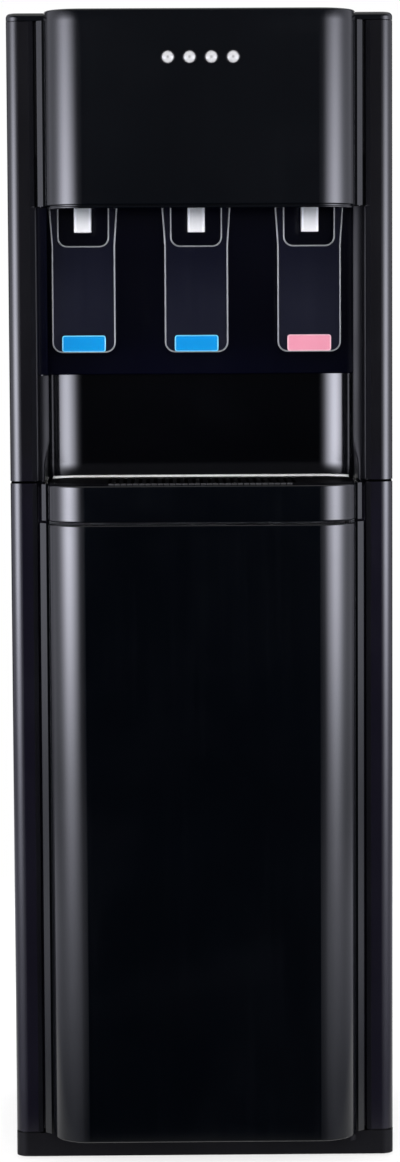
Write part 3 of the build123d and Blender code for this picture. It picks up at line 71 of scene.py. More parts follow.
def makeCamera(fit):
    # forward from yaw and tilt, then right and up turned about it by the roll
    tilt, roll, yaw = (math.radians(fit[key]) for key in ("tilt", "roll", "yaw"))
    forward = np.array([math.sin(yaw) * math.cos(tilt), math.cos(yaw) * math.cos(tilt), -math.sin(tilt)])
    right = np.array([math.cos(yaw), -math.sin(yaw), 0.0])
    up = np.cross(right, forward)
    turnedRight = math.cos(roll) * right + math.sin(roll) * up
    turnedUp = -math.sin(roll) * right + math.cos(roll) * up
    data = bpy.data.cameras.new("photoCamera")
    data.sensor_fit = "VERTICAL"
    data.sensor_height = fit["sensor"]
    data.lens = fit["focalPixels"] / fit["imageHeight"] * fit["sensor"]
    data.clip_start, data.clip_end = fit["clip"]
    camera = bpy.data.objects.new("photoCamera", data)
    standAt(camera, turnedRight, turnedUp, -forward, fit["place"])
    scene.camera = camera


makeCamera(cameraFit)
print("camera placed")


# node helpers: a value is a number, a colour, a vector or another node's output


def feed(tree, value, socket):
    # an output is linked to the socket, anything else is set on it
    if isinstance(value, bpy.types.NodeSocket):
        tree.links.new(value, socket)
    else:
        socket.default_value = value


def feedAll(tree, node, values):
    # values by the names of the node's sockets
    for socketName, value in values.items():
        feed(tree, value, node.inputs[socketName])


def mathNode(tree, operation, *values, clamp=False):
    # one operation on one to three values
    node = tree.nodes.new("ShaderNodeMath")
    node.operation = operation
    node.use_clamp = clamp
    for value, socket in zip(values, node.inputs):
        feed(tree, value, socket)
    return node.outputs[0]


def chain(tree, operation, first, *others):
    # the same operation between the first value and each other one in turn
    for other in others:
        first = mathNode(tree, operation, first, other)
    return first


def product(tree, *values):
    # all the values multiplied
    return chain(tree, "MULTIPLY", *values)


def noiseNode(tree, vector, scale, detail=3.0, rough=0.5, distortion=0.0):
    # smooth noise between 0 and 1, finer with a larger scale
    node = tree.nodes.new("ShaderNodeTexNoise")
    numbers = {"Scale": scale, "Detail": detail, "Roughness": rough, "Distortion": distortion}
    feedAll(tree, node, {"Vector": vector, **numbers})
    return node.outputs["Fac"]


def rampNode(tree, value, low, high, outLow=0.0, outHigh=1.0):
    # straight from outLow at low to outHigh at high, and level past them
    node = tree.nodes.new("ShaderNodeMapRange")
    ends = {"From Min": low, "From Max": high, "To Min": outLow, "To Max": outHigh}
    feedAll(tree, node, {"Value": value, **ends})
    return node.outputs["Result"]


def patchNode(tree, vector, noise, between, out=(0.0, 1.0)):
    # noise of (scale, detail, roughness, distortion) that comes in between two of its values
    return rampNode(tree, noiseNode(tree, vector, *noise), *between, *out)


def objectPlace(tree):
    # the point on the surface, in the object's own metres
    return tree.nodes.new("ShaderNodeTexCoord").outputs["Object"]


def stretchedPlace(tree, scale):
    # that point scaled along each axis, so that noise on it runs as lines
    node = tree.nodes.new("ShaderNodeMapping")
    feedAll(tree, node, {"Vector": objectPlace(tree), "Scale": scale})
    return node.outputs["Vector"]


def splitAxes(tree, vector):
    # the X, Y and Z of a vector, by name
    node = tree.nodes.new("ShaderNodeSeparateXYZ")
    feed(tree, vector, node.inputs["Vector"])
    return node.outputs


def vectorMath(tree, operation, *values):
    # one operation on one or two vectors
    node = tree.nodes.new("ShaderNodeVectorMath")
    node.operation = operation
    for value, socket in zip(values, node.inputs):
        feed(tree, value, socket)
    return node.outputs


def mixColour(tree, factor, first, second):
    # first * (1 - factor) + second * factor
    node = tree.nodes.new("ShaderNodeMix")
    node.data_type = "RGBA"
    feed(tree, factor, node.inputs["Factor"])
    sockets = [socket for socket in node.inputs if socket.type == "RGBA"]
    for value, socket in zip((first, second), sockets):
        feed(tree, (*value, 1.0) if isinstance(value, tuple) else value, socket)
    return [socket for socket in node.outputs if socket.type == "RGBA"][0]


def newGroup(name, inputs, outputs):
    # an empty group with named numbers going in and coming out
    tree = bpy.data.node_groups.new(name, "ShaderNodeTree")
    for way, socketNames in (("INPUT", inputs), ("OUTPUT", outputs)):
        for socketName in socketNames:
            tree.interface.new_socket(socketName, in_out=way, socket_type="NodeSocketFloat")
    return tree, tree.nodes.new("NodeGroupInput").outputs, tree.nodes.new("NodeGroupOutput").inputs


def groupNode(tree, group, **values):
    # one use of a shared group, with its own values
    node = tree.nodes.new("ShaderNodeGroup")
    node.node_tree = group
    feedAll(tree, node, values)
    return node.outputs


# shared effects: hand marks and wiping streaks
smudges = {
    "patches": ((9.0, 3.0, 0.55, 0.6), (0.42, 0.72)),
    "streaks": ((1.0, 2.0), (0.45, 0.8)),
    "stretch": (160.0, 160.0, 6.0),
    "patchShare": 0.65,
    "streakShare": 0.35,
}


def smudgeGroup(spec):
    # wide soft patches and fine upright streaks, added by their shares, as a roughness
    tree, given, out = newGroup("handMarks", ("Low", "High"), ("Roughness",))
    patches = patchNode(tree, objectPlace(tree), *spec["patches"])
    streaks = patchNode(tree, stretchedPlace(tree, spec["stretch"]), *spec["streaks"])
    wide = product(tree, patches, spec["patchShare"])
    both = mathNode(tree, "MULTIPLY_ADD", streaks, spec["streakShare"], wide)
    feed(tree, rampNode(tree, both, 0.0, 1.0, given["Low"], given["High"]), out["Roughness"])
    return tree


# moulded grain of plastic and foam
mouldCells = {"fineDetail": 2.0, "fineShare": 0.4}


def grainGroup(spec):
    # small rounded cells with a finer noise added by its share, as a height
    tree, given, out = newGroup("mouldGrain", ("Scale",), ("Height",))
    place = objectPlace(tree)
    cells = tree.nodes.new("ShaderNodeTexVoronoi")
    cells.feature = "SMOOTH_F1"
    feedAll(tree, cells, {"Vector": place, "Scale": given["Scale"]})
    fine = noiseNode(tree, place, given["Scale"], spec["fineDetail"])
    height = mathNode(tree, "MULTIPLY_ADD", fine, spec["fineShare"], cells.outputs["Distance"])
    feed(tree, height, out["Height"])
    return tree


# settled dust
dustSpread = {
    "upward": (0.35, 1.0),
    "specks": ((140.0, 5.0, 0.7), (0.4, 0.75)),
    "patches": ((12.0, 2.0), (0.3, 0.7), (0.4, 1.0)),
    "colour": (0.35, 0.34, 0.33),
}


def dustGroup(spec):
    # specks * patches * how far the face looks up * amount
    tree, given, out = newGroup("settledDust", ("Amount",), ("Mask",))
    normal = tree.nodes.new("ShaderNodeTexCoord").outputs["Normal"]
    upward = rampNode(tree, splitAxes(tree, normal)["Z"], *spec["upward"])
    specks = patchNode(tree, objectPlace(tree), *spec["specks"])
    patches = patchNode(tree, objectPlace(tree), *spec["patches"])
    dust = product(tree, specks, patches, upward)
    feed(tree, mathNode(tree, "MULTIPLY", dust, given["Amount"], clamp=True), out["Mask"])
    return tree


# rubbed edges
edgeRub = {"samples": 4, "between": (0.98, 0.80), "breaks": ((220.0, 4.0, 0.6), (0.35, 0.65))}


def wearGroup(spec):
    # where the bevelled normal leaves the true one, broken by noise, times the amount
    tree, given, out = newGroup("rubbedEdges", ("Radius", "Amount"), ("Mask",))
    bevel = tree.nodes.new("ShaderNodeBevel")
    bevel.samples = spec["samples"]
    feed(tree, given["Radius"], bevel.inputs["Radius"])
    trueNormal = tree.nodes.new("ShaderNodeNewGeometry").outputs["Normal"]
    dot = vectorMath(tree, "DOT_PRODUCT", bevel.outputs["Normal"], trueNormal)["Value"]
    edge = rampNode(tree, dot, *spec["between"])
    broken = product(tree, edge, patchNode(tree, objectPlace(tree), *spec["breaks"]))
    feed(tree, mathNode(tree, "MULTIPLY", broken, given["Amount"], clamp=True), out["Mask"])
    return tree


# rolling or brushing marks of bare metal
brushLines = {"stretch": (40.0, 40.0, 2200.0), "noise": (1.0, 3.0, 0.6), "between": (0.3, 0.7)}


def brushedGroup(spec):
    # noise stretched along one axis, as a height and a roughness
    tree, given, out = newGroup("brushMarks", ("Low", "High"), ("Height", "Roughness"))
    lines = noiseNode(tree, stretchedPlace(tree, spec["stretch"]), *spec["noise"])
    feed(tree, lines, out["Height"])
    feed(tree, rampNode(tree, lines, *spec["between"], given["Low"], given["High"]), out["Roughness"])
    return tree


handMarks = smudgeGroup(smudges)
mouldGrain = grainGroup(mouldCells)
settledDust = dustGroup(dustSpread)
rubbedEdges = wearGroup(edgeRub)
brushMarks = brushedGroup(brushLines)
print("shared effects built")


# what several pieces and finishes share: the taps and the row of indicator lenses
taps = {"places": {"left": -0.1067, "middle": -0.0037, "right": 0.0993}, "axisHeight": 0.900}
lampRow = {"count": 4, "middle": 0.0005, "pitch": 0.0194, "height": 1.009}


def eachTap(name):
    # the names of the node that each tap has
    return tuple(f"{name}_{tapName}" for tapName in taps["places"])


# finishes: colour and tint alternate slowly over the surface; rise is a colour and the heights it comes in
# between, which on the nozzles and paddles is painted light and shade; marks is the least and most roughness,
# and brushed, for bare metal, those and its bump; grain is its scale and bump; wear is a colour, an edge
# radius and an amount; nodes are the CAD parts that wear it
finishes = {
    "glossBlack": {
        "nodes": ("fascia", "top_cover", "mid_panel", "door_shell"),
        "colour": (0.0002, 0.0007, 0.0018), "tint": (0.0005, 0.0011, 0.0024),
        "marks": (0.13, 0.20), "dust": 0.02, "sockets": {"IOR": 1.56},
    },
    "cabinetBlack": {
        "nodes": ("lower_side_left", "lower_side_right", "upper_side_left", "upper_side_right"),
        "colour": (0.0052, 0.0045, 0.0100), "tint": (0.0064, 0.0055, 0.0120),
        "rise": ((0.0040, 0.0038, 0.0054), 0.60, 0.66),
        "marks": (0.15, 0.23), "dust": 0.03, "grain": (1400.0, 0.04), "sockets": {"IOR": 1.5},
    },
    "alcoveBlack": {
        "nodes": ("alcove_liner",), "colour": (0.0003, 0.0005, 0.0012), "tint": (0.0006, 0.0008, 0.0016),
        "marks": (0.13, 0.19), "dust": 0.01, "specular": 0.3, "sockets": {"IOR": 1.5},
    },
    "panelNavy": {
        "nodes": ("tap_panel",), "colour": (0.0005, 0.0007, 0.0046), "tint": (0.0008, 0.0010, 0.0058),
        "marks": (0.13, 0.20), "dust": 0.01, "specular": 0.35, "sockets": {"IOR": 1.5},
    },
    "liningBlack": {
        "colour": (0.0004, 0.0006, 0.0014), "tint": (0.0007, 0.0009, 0.0018),
        "marks": (0.10, 0.15), "sockets": {"IOR": 1.56},
    },
    "edgeBlack": {
        "colour": (0.0020, 0.0020, 0.0032), "tint": (0.0030, 0.0030, 0.0045),
        "marks": (0.30, 0.42), "specular": 0.14,
    },
    "bezelBlack": {
        "nodes": ("door_hinge_pins",), "colour": (0.003, 0.003, 0.004), "tint": (0.005, 0.005, 0.006),
        "marks": (0.40, 0.5), "specular": 0.2,
    },
    # painted shade: matte black without gloss, for the shadow in the seam between the side panels
    "paintedShadeBlack": {
        "colour": (0.0004, 0.0004, 0.0005), "tint": (0.0008, 0.0008, 0.0010),
        "marks": (0.8, 0.9), "specular": 0.0,
    },
    # painted highlight: grey for the light caught on the tray ribs' edges; the tray itself is black
    "paintedHighlightGrey": {
        "colour": (0.026, 0.026, 0.028), "tint": (0.040, 0.040, 0.043),
        "marks": (0.4, 0.5), "specular": 0.2,
    },
    "plinthBlack": {
        "nodes": ("base_plinth",), "colour": (0.0026, 0.0025, 0.0036), "tint": (0.0040, 0.0039, 0.0050),
        "marks": (0.42, 0.6), "dust": 0.03, "grain": (1100.0, 0.12),
        "wear": ((0.02, 0.02, 0.02), 0.0012, 0.4), "specular": 0.12,
    },
    "footRubber": {
        "nodes": ("levelling_feet",), "colour": (0.02, 0.02, 0.02), "tint": (0.035, 0.033, 0.03),
        "marks": (0.7, 0.85), "grain": (700.0, 0.3),
    },
    "rearSheet": {
        "nodes": ("lower_rear_panel", "upper_rear_panel", "door_liner"),
        "colour": (0.018, 0.018, 0.020), "tint": (0.026, 0.026, 0.028),
        "marks": (0.4, 0.55), "dust": 0.1, "grain": (700.0, 0.22), "wear": ((0.09, 0.09, 0.09), 0.0008, 0.4),
    },
    "zincSheet": {
        "nodes": ("mid_deck", "tank_shelf"),
        "colour": (0.50, 0.51, 0.52), "tint": (0.60, 0.61, 0.63), "tintScale": 60.0,
        "brushed": (0.28, 0.45, 0.05),
    },
    "brightTrim": {
        "nodes": ("drip_trim",),
        "colour": (0.98, 0.98, 0.985), "tint": (0.96, 0.96, 0.97), "marks": (0.2, 0.3),
    },
    "brightSteel": {
        "nodes": ("panel_screws",), "colour": (0.30, 0.30, 0.31), "tint": (0.22, 0.22, 0.23),
        "brushed": (0.25, 0.4, 0.05),
    },
    "trayBlack": {
        "nodes": ("drip_tray", "drip_grille"),
        "colour": (0.0014, 0.0014, 0.0020), "tint": (0.0024, 0.0024, 0.0030),
        "marks": (0.42, 0.58), "dust": 0.01, "grain": (1200.0, 0.12),
        "wear": ((0.01, 0.01, 0.012), 0.0008, 0.2), "specular": 0.02,
    },
    "magnetBlack": {
        "nodes": ("door_magnet",), "colour": (0.03, 0.03, 0.03), "tint": (0.05, 0.045, 0.04),
        "marks": (0.5, 0.7), "grain": (900.0, 0.2),
    },
    "tankSteel": {
        "nodes": ("cold_tank", "hot_tank"), "colour": (0.55, 0.55, 0.56), "tint": (0.62, 0.62, 0.63),
        "brushed": (0.2, 0.35, 0.06),
    },
    "foamWhite": {
        "nodes": ("cold_tank_jacket",), "colour": (0.74, 0.73, 0.68), "tint": (0.80, 0.80, 0.78),
        "marks": (0.8, 0.95), "grain": (260.0, 0.5),
    },
    "foamGrey": {
        "nodes": ("hot_tank_jacket",), "colour": (0.20, 0.20, 0.20), "tint": (0.28, 0.28, 0.28),
        "marks": (0.8, 0.95), "grain": (260.0, 0.5),
    },
    "aluminium": {
        "nodes": ("cold_block", "heat_sink"), "colour": (0.66, 0.67, 0.68), "tint": (0.72, 0.73, 0.74),
        "brushed": (0.25, 0.42, 0.08),
    },
    "ceramicWhite": {
        "nodes": ("peltier_module",),
        "colour": (0.78, 0.78, 0.76), "tint": (0.82, 0.82, 0.81), "marks": (0.35, 0.5),
    },
    "fanBlack": {
        "nodes": ("fan_frame", "fan_rotor", "cord_inlet", "switch_bezel"),
        "colour": (0.02, 0.02, 0.02), "tint": (0.03, 0.03, 0.03),
        "marks": (0.35, 0.5), "dust": 0.2, "grain": (900.0, 0.12),
    },
    "pumpGrey": {
        "nodes": ("water_pump", "drain_cap"), "colour": (0.09, 0.09, 0.10), "tint": (0.12, 0.12, 0.13),
        "marks": (0.35, 0.5), "grain": (900.0, 0.15),
    },
    "probeWhite": {
        "nodes": ("bottle_probe", "drain_outlet"), "colour": (0.66, 0.67, 0.68), "tint": (0.72, 0.72, 0.72),
        "marks": (0.3, 0.45), "grain": (1200.0, 0.08),
    },
    "silicone": {
        "nodes": ("probe_hose", "water_tubes", *eachTap("tap_plunger")),
        "colour": (0.70, 0.70, 0.67), "tint": (0.62, 0.63, 0.62), "marks": (0.3, 0.42),
        "sockets": {"Subsurface Weight": 0.3, "Subsurface Radius": (0.004, 0.004, 0.004)},
    },
    "boardGreen": {
        "nodes": ("power_board", "led_board"),
        "colour": (0.015, 0.10, 0.035), "tint": (0.02, 0.14, 0.05), "tintScale": 300.0,
        "marks": (0.3, 0.4), "grain": (500.0, 0.2),
    },
    "tapBlack": {
        "nodes": eachTap("tap_body"),
        "colour": (0.006, 0.006, 0.008), "tint": (0.009, 0.009, 0.012), "marks": (0.22, 0.34),
        "sockets": {"Coat Weight": 0.8, "Coat Roughness": 0.1, "Coat IOR": 1.6},
    },
    # painted highlight: grey at the top rising to nearly white at the foot, the sheen of the satin metal
    # spout painted in
    "nozzlePaintedSheen": {
        "nodes": eachTap("tap_nozzle"),
        "colour": (0.34, 0.36, 0.40), "tint": (0.40, 0.42, 0.46), "rise": ((0.88, 0.88, 0.92), 0.874, 0.856),
        "marks": (0.34, 0.46), "specular": 0.4, "sockets": {"Metallic": 0.1},
    },
    # painted light and shade: lighter towards each paddle's foot, darker up by its window under the fascia
    "paddleBlack": {
        "nodes": eachTap("paddle"), "colour": (0.0012, 0.0016, 0.0075), "tint": (0.0018, 0.0022, 0.0090),
        "rise": ((0.0055, 0.0062, 0.0150), 0.835, 0.79),
        "marks": (0.18, 0.28), "dust": 0.03, "sockets": {"IOR": 1.5},
    },
    # painted highlight: pale grey for the light caught on the paddles' rounded edges
    "paddleRimHighlight": {"colour": (0.22, 0.23, 0.25), "tint": (0.32, 0.33, 0.35), "marks": (0.25, 0.4)},
    "tagBlue": {
        "nodes": ("paddle_tag_left", "paddle_tag_middle"),
        "colour": (0.0005, 0.285, 0.76), "tint": (0.0005, 0.310, 0.80),
        "marks": (0.2, 0.32), "specular": 0.06,
    },
    "tagBlueRim": {"colour": (0.16, 0.66, 1.0), "tint": (0.20, 0.70, 1.0), "marks": (0.2, 0.32)},
    "tagPink": {
        "nodes": ("paddle_tag_right",), "colour": (0.88, 0.31, 0.44), "tint": (0.92, 0.35, 0.48),
        "marks": (0.2, 0.32), "specular": 0.2,
    },
    "tagPinkRim": {"colour": (0.95, 0.52, 0.62), "tint": (0.96, 0.56, 0.66), "marks": (0.2, 0.32)},
    "lampLens": {
        "nodes": ("led_lenses",),
        "colour": (0.74, 0.74, 0.77), "tint": (0.68, 0.68, 0.71), "tintScale": 400.0, "marks": (0.25, 0.38),
        "rings": {
            "dot": (0.0006, 0.0017), "dotColour": (0.40, 0.40, 0.42),
            "edge": (0.0044, 0.0058), "edgeColour": (0.36, 0.36, 0.38),
        },
    },
    "switchRed": {
        "nodes": ("heating_switch",),
        "colour": (0.45, 0.02, 0.02), "tint": (0.5, 0.03, 0.03), "marks": (0.2, 0.35),
    },
    "switchBlue": {
        "nodes": ("cooling_switch",),
        "colour": (0.02, 0.08, 0.38), "tint": (0.03, 0.10, 0.44), "marks": (0.2, 0.35),
    },
}
# what all finishes share: how finely the tint varies, and how deep a bump of strength 1 is, in metres
surface = {"tintScale": 14.0, "tintNoise": (4.0, 0.6), "tintBetween": (0.3, 0.7), "bumpDistance": 0.0003}


def newMaterial(name):
    # the material, its node tree and its shader
    material = bpy.data.materials.new(name)
    material.use_nodes = True
    return material, material.node_tree, material.node_tree.nodes["Principled BSDF"]


def ringColour(tree, spec, colour):
    # away = sqrt(aside^2 + up^2) from the nearest lens's middle: one colour inside the dot, one past the edge
    place = splitAxes(tree, objectPlace(tree))
    half = lampRow["pitch"] / 2
    aside = mathNode(tree, "PINGPONG", mathNode(tree, "SUBTRACT", place["X"], lampRow["middle"]), half)
    aside = mathNode(tree, "SUBTRACT", aside, half)
    up = mathNode(tree, "SUBTRACT", place["Z"], lampRow["height"])
    away = mathNode(tree, "SQRT", mathNode(tree, "ADD", product(tree, aside, aside), product(tree, up, up)))
    colour = mixColour(tree, rampNode(tree, away, *spec["dot"], 1.0, 0.0), colour, spec["dotColour"])
    return mixColour(tree, rampNode(tree, away, *spec["edge"]), colour, spec["edgeColour"])


def makeMaterial(name, finish):
    # tint, rise, rings, wear and dust laid over the colour in turn, then the roughness and the bump
    material, tree, shader = newMaterial(name)
    feedAll(tree, shader, finish.get("sockets", {}))
    if "specular" in finish:
        feed(tree, finish["specular"], shader.inputs["Specular IOR Level"])
    tintNoise = (finish.get("tintScale", surface["tintScale"]), *surface["tintNoise"])
    slow = patchNode(tree, objectPlace(tree), tintNoise, surface["tintBetween"])
    colour = mixColour(tree, slow, finish["colour"], finish["tint"])
    # rise: a colour blended in between two heights; on the nozzles and paddles a painted highlight, lighter
    # towards their foot
    if "rise" in finish:
        over, low, high = finish["rise"]
        height = splitAxes(tree, objectPlace(tree))["Z"]
        colour = mixColour(tree, rampNode(tree, height, low, high), colour, over)
    if "rings" in finish:
        colour = ringColour(tree, finish["rings"], colour)
    if "wear" in finish:
        over, radius, amount = finish["wear"]
        rubbed = groupNode(tree, rubbedEdges, Radius=radius, Amount=amount)
        colour = mixColour(tree, rubbed["Mask"], colour, over)
    if "dust" in finish:
        dust = groupNode(tree, settledDust, Amount=finish["dust"])
        colour = mixColour(tree, dust["Mask"], colour, dustSpread["colour"])
    feed(tree, colour, shader.inputs["Base Color"])
    strength = None
    if "brushed" in finish:
        low, high, strength = finish["brushed"]
        marks = groupNode(tree, brushMarks, Low=low, High=high)
        height = marks["Height"]
        feed(tree, 1.0, shader.inputs["Metallic"])
    else:
        low, high = finish["marks"]
        marks = groupNode(tree, handMarks, Low=low, High=high)
    feed(tree, marks["Roughness"], shader.inputs["Roughness"])
    if "grain" in finish:
        scale, strength = finish["grain"]
        height = groupNode(tree, mouldGrain, Scale=scale)["Height"]
    if strength is not None:
        bump = tree.nodes.new("ShaderNodeBump")
        feedAll(tree, bump, {"Strength": strength, "Distance": surface["bumpDistance"], "Height": height})
        feed(tree, bump.outputs["Normal"], shader.inputs["Normal"])
    return material


materials = {name: makeMaterial(name, finish) for name, finish in finishes.items()}
bare = set(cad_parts)
for finishName, finish in finishes.items():
    for nodeName in finish.get("nodes", ()):
        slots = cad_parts[nodeName].data.materials
        slots.clear()
        slots.append(materials[finishName])
        bare.remove(nodeName)
print("materials given; nodes without one:", sorted(bare))


# mesh helpers: a shape is its points, worked out as a grid, and its faces
meshRule = {"weld": 1e-6, "sharpAngle": 50.0}


def meshPiece(name, points, faces, material):
    # an object at the origin, with its place in its mesh
    mesh = bpy.data.meshes.new(name)
    mesh.from_pydata(np.asarray(points).tolist(), [], [[int(corner) for corner in face] for face in faces])
    mesh.update()
    mesh.materials.append(material)
    piece = bpy.data.objects.new(name, mesh)
    scene.collection.objects.link(piece)
    return piece


def addPiece(name, shape, materialName, body="cabinet"):
    # a smooth closed piece: doubles merged, every face turned outwards, edges sharp past the angle
    piece = meshPiece(name, *shape, materials[materialName])
    mesh = piece.data
    mesh.polygons.foreach_set("use_smooth", np.ones(len(mesh.polygons), dtype=bool))
    work = bmesh.new()
    work.from_mesh(mesh)
    bmesh.ops.remove_doubles(work, verts=work.verts, dist=meshRule["weld"])
    bmesh.ops.recalc_face_normals(work, faces=work.faces)
    work.to_mesh(mesh)
    work.free()
    mesh.set_sharp_from_angle(angle=math.radians(meshRule["sharpAngle"]))
    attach(piece, body)
    return piece


def mirrored(points):
    # x to -x
    return points * np.array([-1.0, 1.0, 1.0])


def addPair(name, shape, materialName):
    # the shape at the left and its mirror image at the right
    points, faces = shape
    addPiece(name + "_left", (points, faces), materialName)
    addPiece(name + "_right", (mirrored(points), faces), materialName)


def gridFaces(rows, columns, closeRows, closeColumns):
    # quads between neighbouring rows and columns of a grid, wrapping where it closes
    row = np.arange(rows if closeRows else rows - 1)[:, None]
    column = np.arange(columns if closeColumns else columns - 1)[None, :]
    here, after = row * columns, (row + 1) % rows * columns
    nextColumn = (column + 1) % columns
    corners = (here + column, here + nextColumn, after + nextColumn, after + column)
    return np.stack(corners, axis=-1).reshape(-1, 4)


def roundedLoop(corners, radii, steps=7):
    # closed outline: at each corner an arc of the given radius, tangent to both sides
    corners = np.asarray(corners, float)
    loop = []
    for index, radius in enumerate(radii):
        here = corners[index]
        before = corners[index - 1] - here
        after = corners[(index + 1) % len(corners)] - here
        before /= np.linalg.norm(before)
        after /= np.linalg.norm(after)
        half = math.acos(np.clip(before @ after, -1, 1)) / 2
        reach = radius / math.tan(half)
        middle = here + (before + after) / np.linalg.norm(before + after) * radius / math.sin(half)
        start, end = here + before * reach - middle, here + after * reach - middle
        turn = np.arctan2(start[0] * end[1] - start[1] * end[0], start @ end)
        angle = np.linspace(0, turn, steps)[:, None]
        side = np.array([-start[1], start[0]])
        loop.append(middle + start * np.cos(angle) + side * np.sin(angle))
    return np.concatenate(loop)


def tubeLoop(loop, depth, radius, sides=8):
    # a round bead along a closed outline in the XZ plane: point + radius * (outward * cos + front * sin)
    along = np.roll(loop, -1, axis=0) - np.roll(loop, 1, axis=0)
    along /= np.linalg.norm(along, axis=1)[:, None]
    outward = np.stack([along[:, 1], -along[:, 0]], axis=1)[:, None]
    angle = np.linspace(0, 2 * math.pi, sides, endpoint=False)
    x, z = np.moveaxis(loop[:, None] + radius * outward * np.cos(angle)[:, None], 2, 0)
    y = np.broadcast_to(depth - radius * np.sin(angle), x.shape)
    return np.stack([x, y, z], axis=2).reshape(-1, 3), gridFaces(*x.shape, True, True)


def lathe(profile, centre, steps=40):
    # closed profile (radius, depth) turned round an axis along Y through the centre
    radius, depth = np.array(profile).T
    angle = np.linspace(0, 2 * math.pi, steps, endpoint=False)[:, None]
    depth = np.broadcast_to(depth, (steps, len(radius)))
    points = np.stack([radius * np.cos(angle), depth, radius * np.sin(angle)], axis=2) + centre
    return points.reshape(-1, 3), gridFaces(*depth.shape, True, True)


def shellSolid(front, back):
    # closed piece between two grids of points: each row runs along the front and returns along the back
    rows, columns = front.shape[:2]
    points = np.concatenate([front, back[:, ::-1]], axis=1)
    faces = gridFaces(rows, 2 * columns, False, True)
    index = np.arange(columns - 1)
    cap = np.stack([index, index + 1, 2 * columns - 2 - index, 2 * columns - 1 - index], axis=1)
    return points.reshape(-1, 3), np.concatenate([faces, cap, cap + (rows - 1) * 2 * columns])


def bendPath(start, bends, steps=10):
    # plan path told by the angle of its normal from the front: each step is bend * turn * (cos, sin)
    moves, angles = [[start]], [np.radians(bends[0][:1])]
    for first, last, bend in bends:
        turns = np.radians(np.linspace(first, last, steps + 1))
        middle = (turns[:-1] + turns[1:]) / 2
        moves.append((bend * np.diff(turns))[:, None] * np.stack([np.cos(middle), np.sin(middle)], axis=1))
        angles.append(turns[1:])
    return np.cumsum(np.concatenate(moves), axis=0), np.concatenate(angles)


def planNormals(angles):
    # (sin, -cos) of each angle from the front
    return np.stack([np.sin(angles), -np.cos(angles)], axis=1)


def cornerNormals(first, last, steps):
    # (-cos, -sin) of an angle that runs between two, in degrees: 0 looks left and 90 to the front
    turn = np.radians(np.linspace(first, last, steps))
    return np.stack([-np.cos(turn), -np.sin(turn)], axis=1)


def bothHalves(plan):
    # a plan from the left end to the middle, then mirrored out to the right end
    return np.concatenate([plan, plan[::-1] * np.array((-1.0, 1.0))])


def standUp(plan, heights):
    # plan points, the same at every height or one row for each height, made a grid of points
    plan = np.broadcast_to(plan, (len(heights), *plan.shape[-2:]))
    levels = np.broadcast_to(np.asarray(heights)[:, None, None], (*plan.shape[:2], 1))
    return np.concatenate([plan, levels], axis=2)


def sweep(plan, normals, section):
    # closed section of (outward, height) points carried along a plan path, with a face over each end
    outward, heights = np.array(section).T
    points = standUp(plan + normals * outward[:, None, None], heights).transpose(1, 0, 2)
    faces = gridFaces(len(plan), len(section), False, True).tolist()
    first = list(range(len(section)))
    last = [index + (len(plan) - 1) * len(section) for index in first]
    return points.reshape(-1, 3), faces + [first, last]


# paddle rims: a thin bead round each paddle and round its window, measured from the tap's axis; its pale grey
# is a painted highlight, the light caught on the paddle's rounded edge
paddleRimHighlight = {
    "outline": (
        (-0.0306, -0.0122), (-0.0306, -0.022), (-0.02835, -0.057), (-0.02835, -0.1536),
        (0.02835, -0.1536), (0.02835, -0.057), (0.0306, -0.022), (0.0306, -0.0122),
    ),
    "outlineRadii": (0.001, 0.004, 0.02, 0.0086, 0.0086, 0.02, 0.004, 0.001),
    "window": ((0.0230, -0.0122), (0.0230, -0.0577), (-0.0230, -0.0577), (-0.0230, -0.0122)),
    "windowRadii": (0.001, 0.0082, 0.0082, 0.001),
    "raisedEdge": 0.0008,
    "beadRadius": 0.00075,
    "standOff": 0.0009,
}
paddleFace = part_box("paddle_left")[0][1] + paddleRimHighlight["raisedEdge"]  # the flat face behind the raised edge
# one U-shaped loop: down the outside, then back up round the window
rimLoop = roundedLoop(
    paddleRimHighlight["outline"] + paddleRimHighlight["window"],
    paddleRimHighlight["outlineRadii"] + paddleRimHighlight["windowRadii"],
)
for tapName, tapX in taps["places"].items():
    loop = rimLoop + np.array([tapX, taps["axisHeight"]])
    shape = tubeLoop(loop, paddleFace - paddleRimHighlight["standOff"], paddleRimHighlight["beadRadius"])
    addPiece(f"paddleRimHighlight_{tapName}", shape, "paddleRimHighlight", f"paddle_{tapName}_body")
print("paddle rims made")


# lamp rings: a thin black bezel round each lens, its profile as (radius, depth) from the fascia's front
lampRing = {
    "profile": (
        (0.0056, 0.0004), (0.0056, -0.00096), (0.0059, -0.0012),
        (0.0062, -0.0012), (0.0066, -0.00048), (0.0066, 0.0004),
    ),
}
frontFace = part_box("fascia")[0][1]
for index in range(lampRow["count"]):
    lampX = lampRow["middle"] + (index - (lampRow["count"] - 1) / 2) * lampRow["pitch"]
    shape = lathe(lampRing["profile"], (lampX, frontFace, lampRow["height"]))
    addPiece(f"lampRing_{index + 1}", shape, "bezelBlack")
print("lamp rings made")


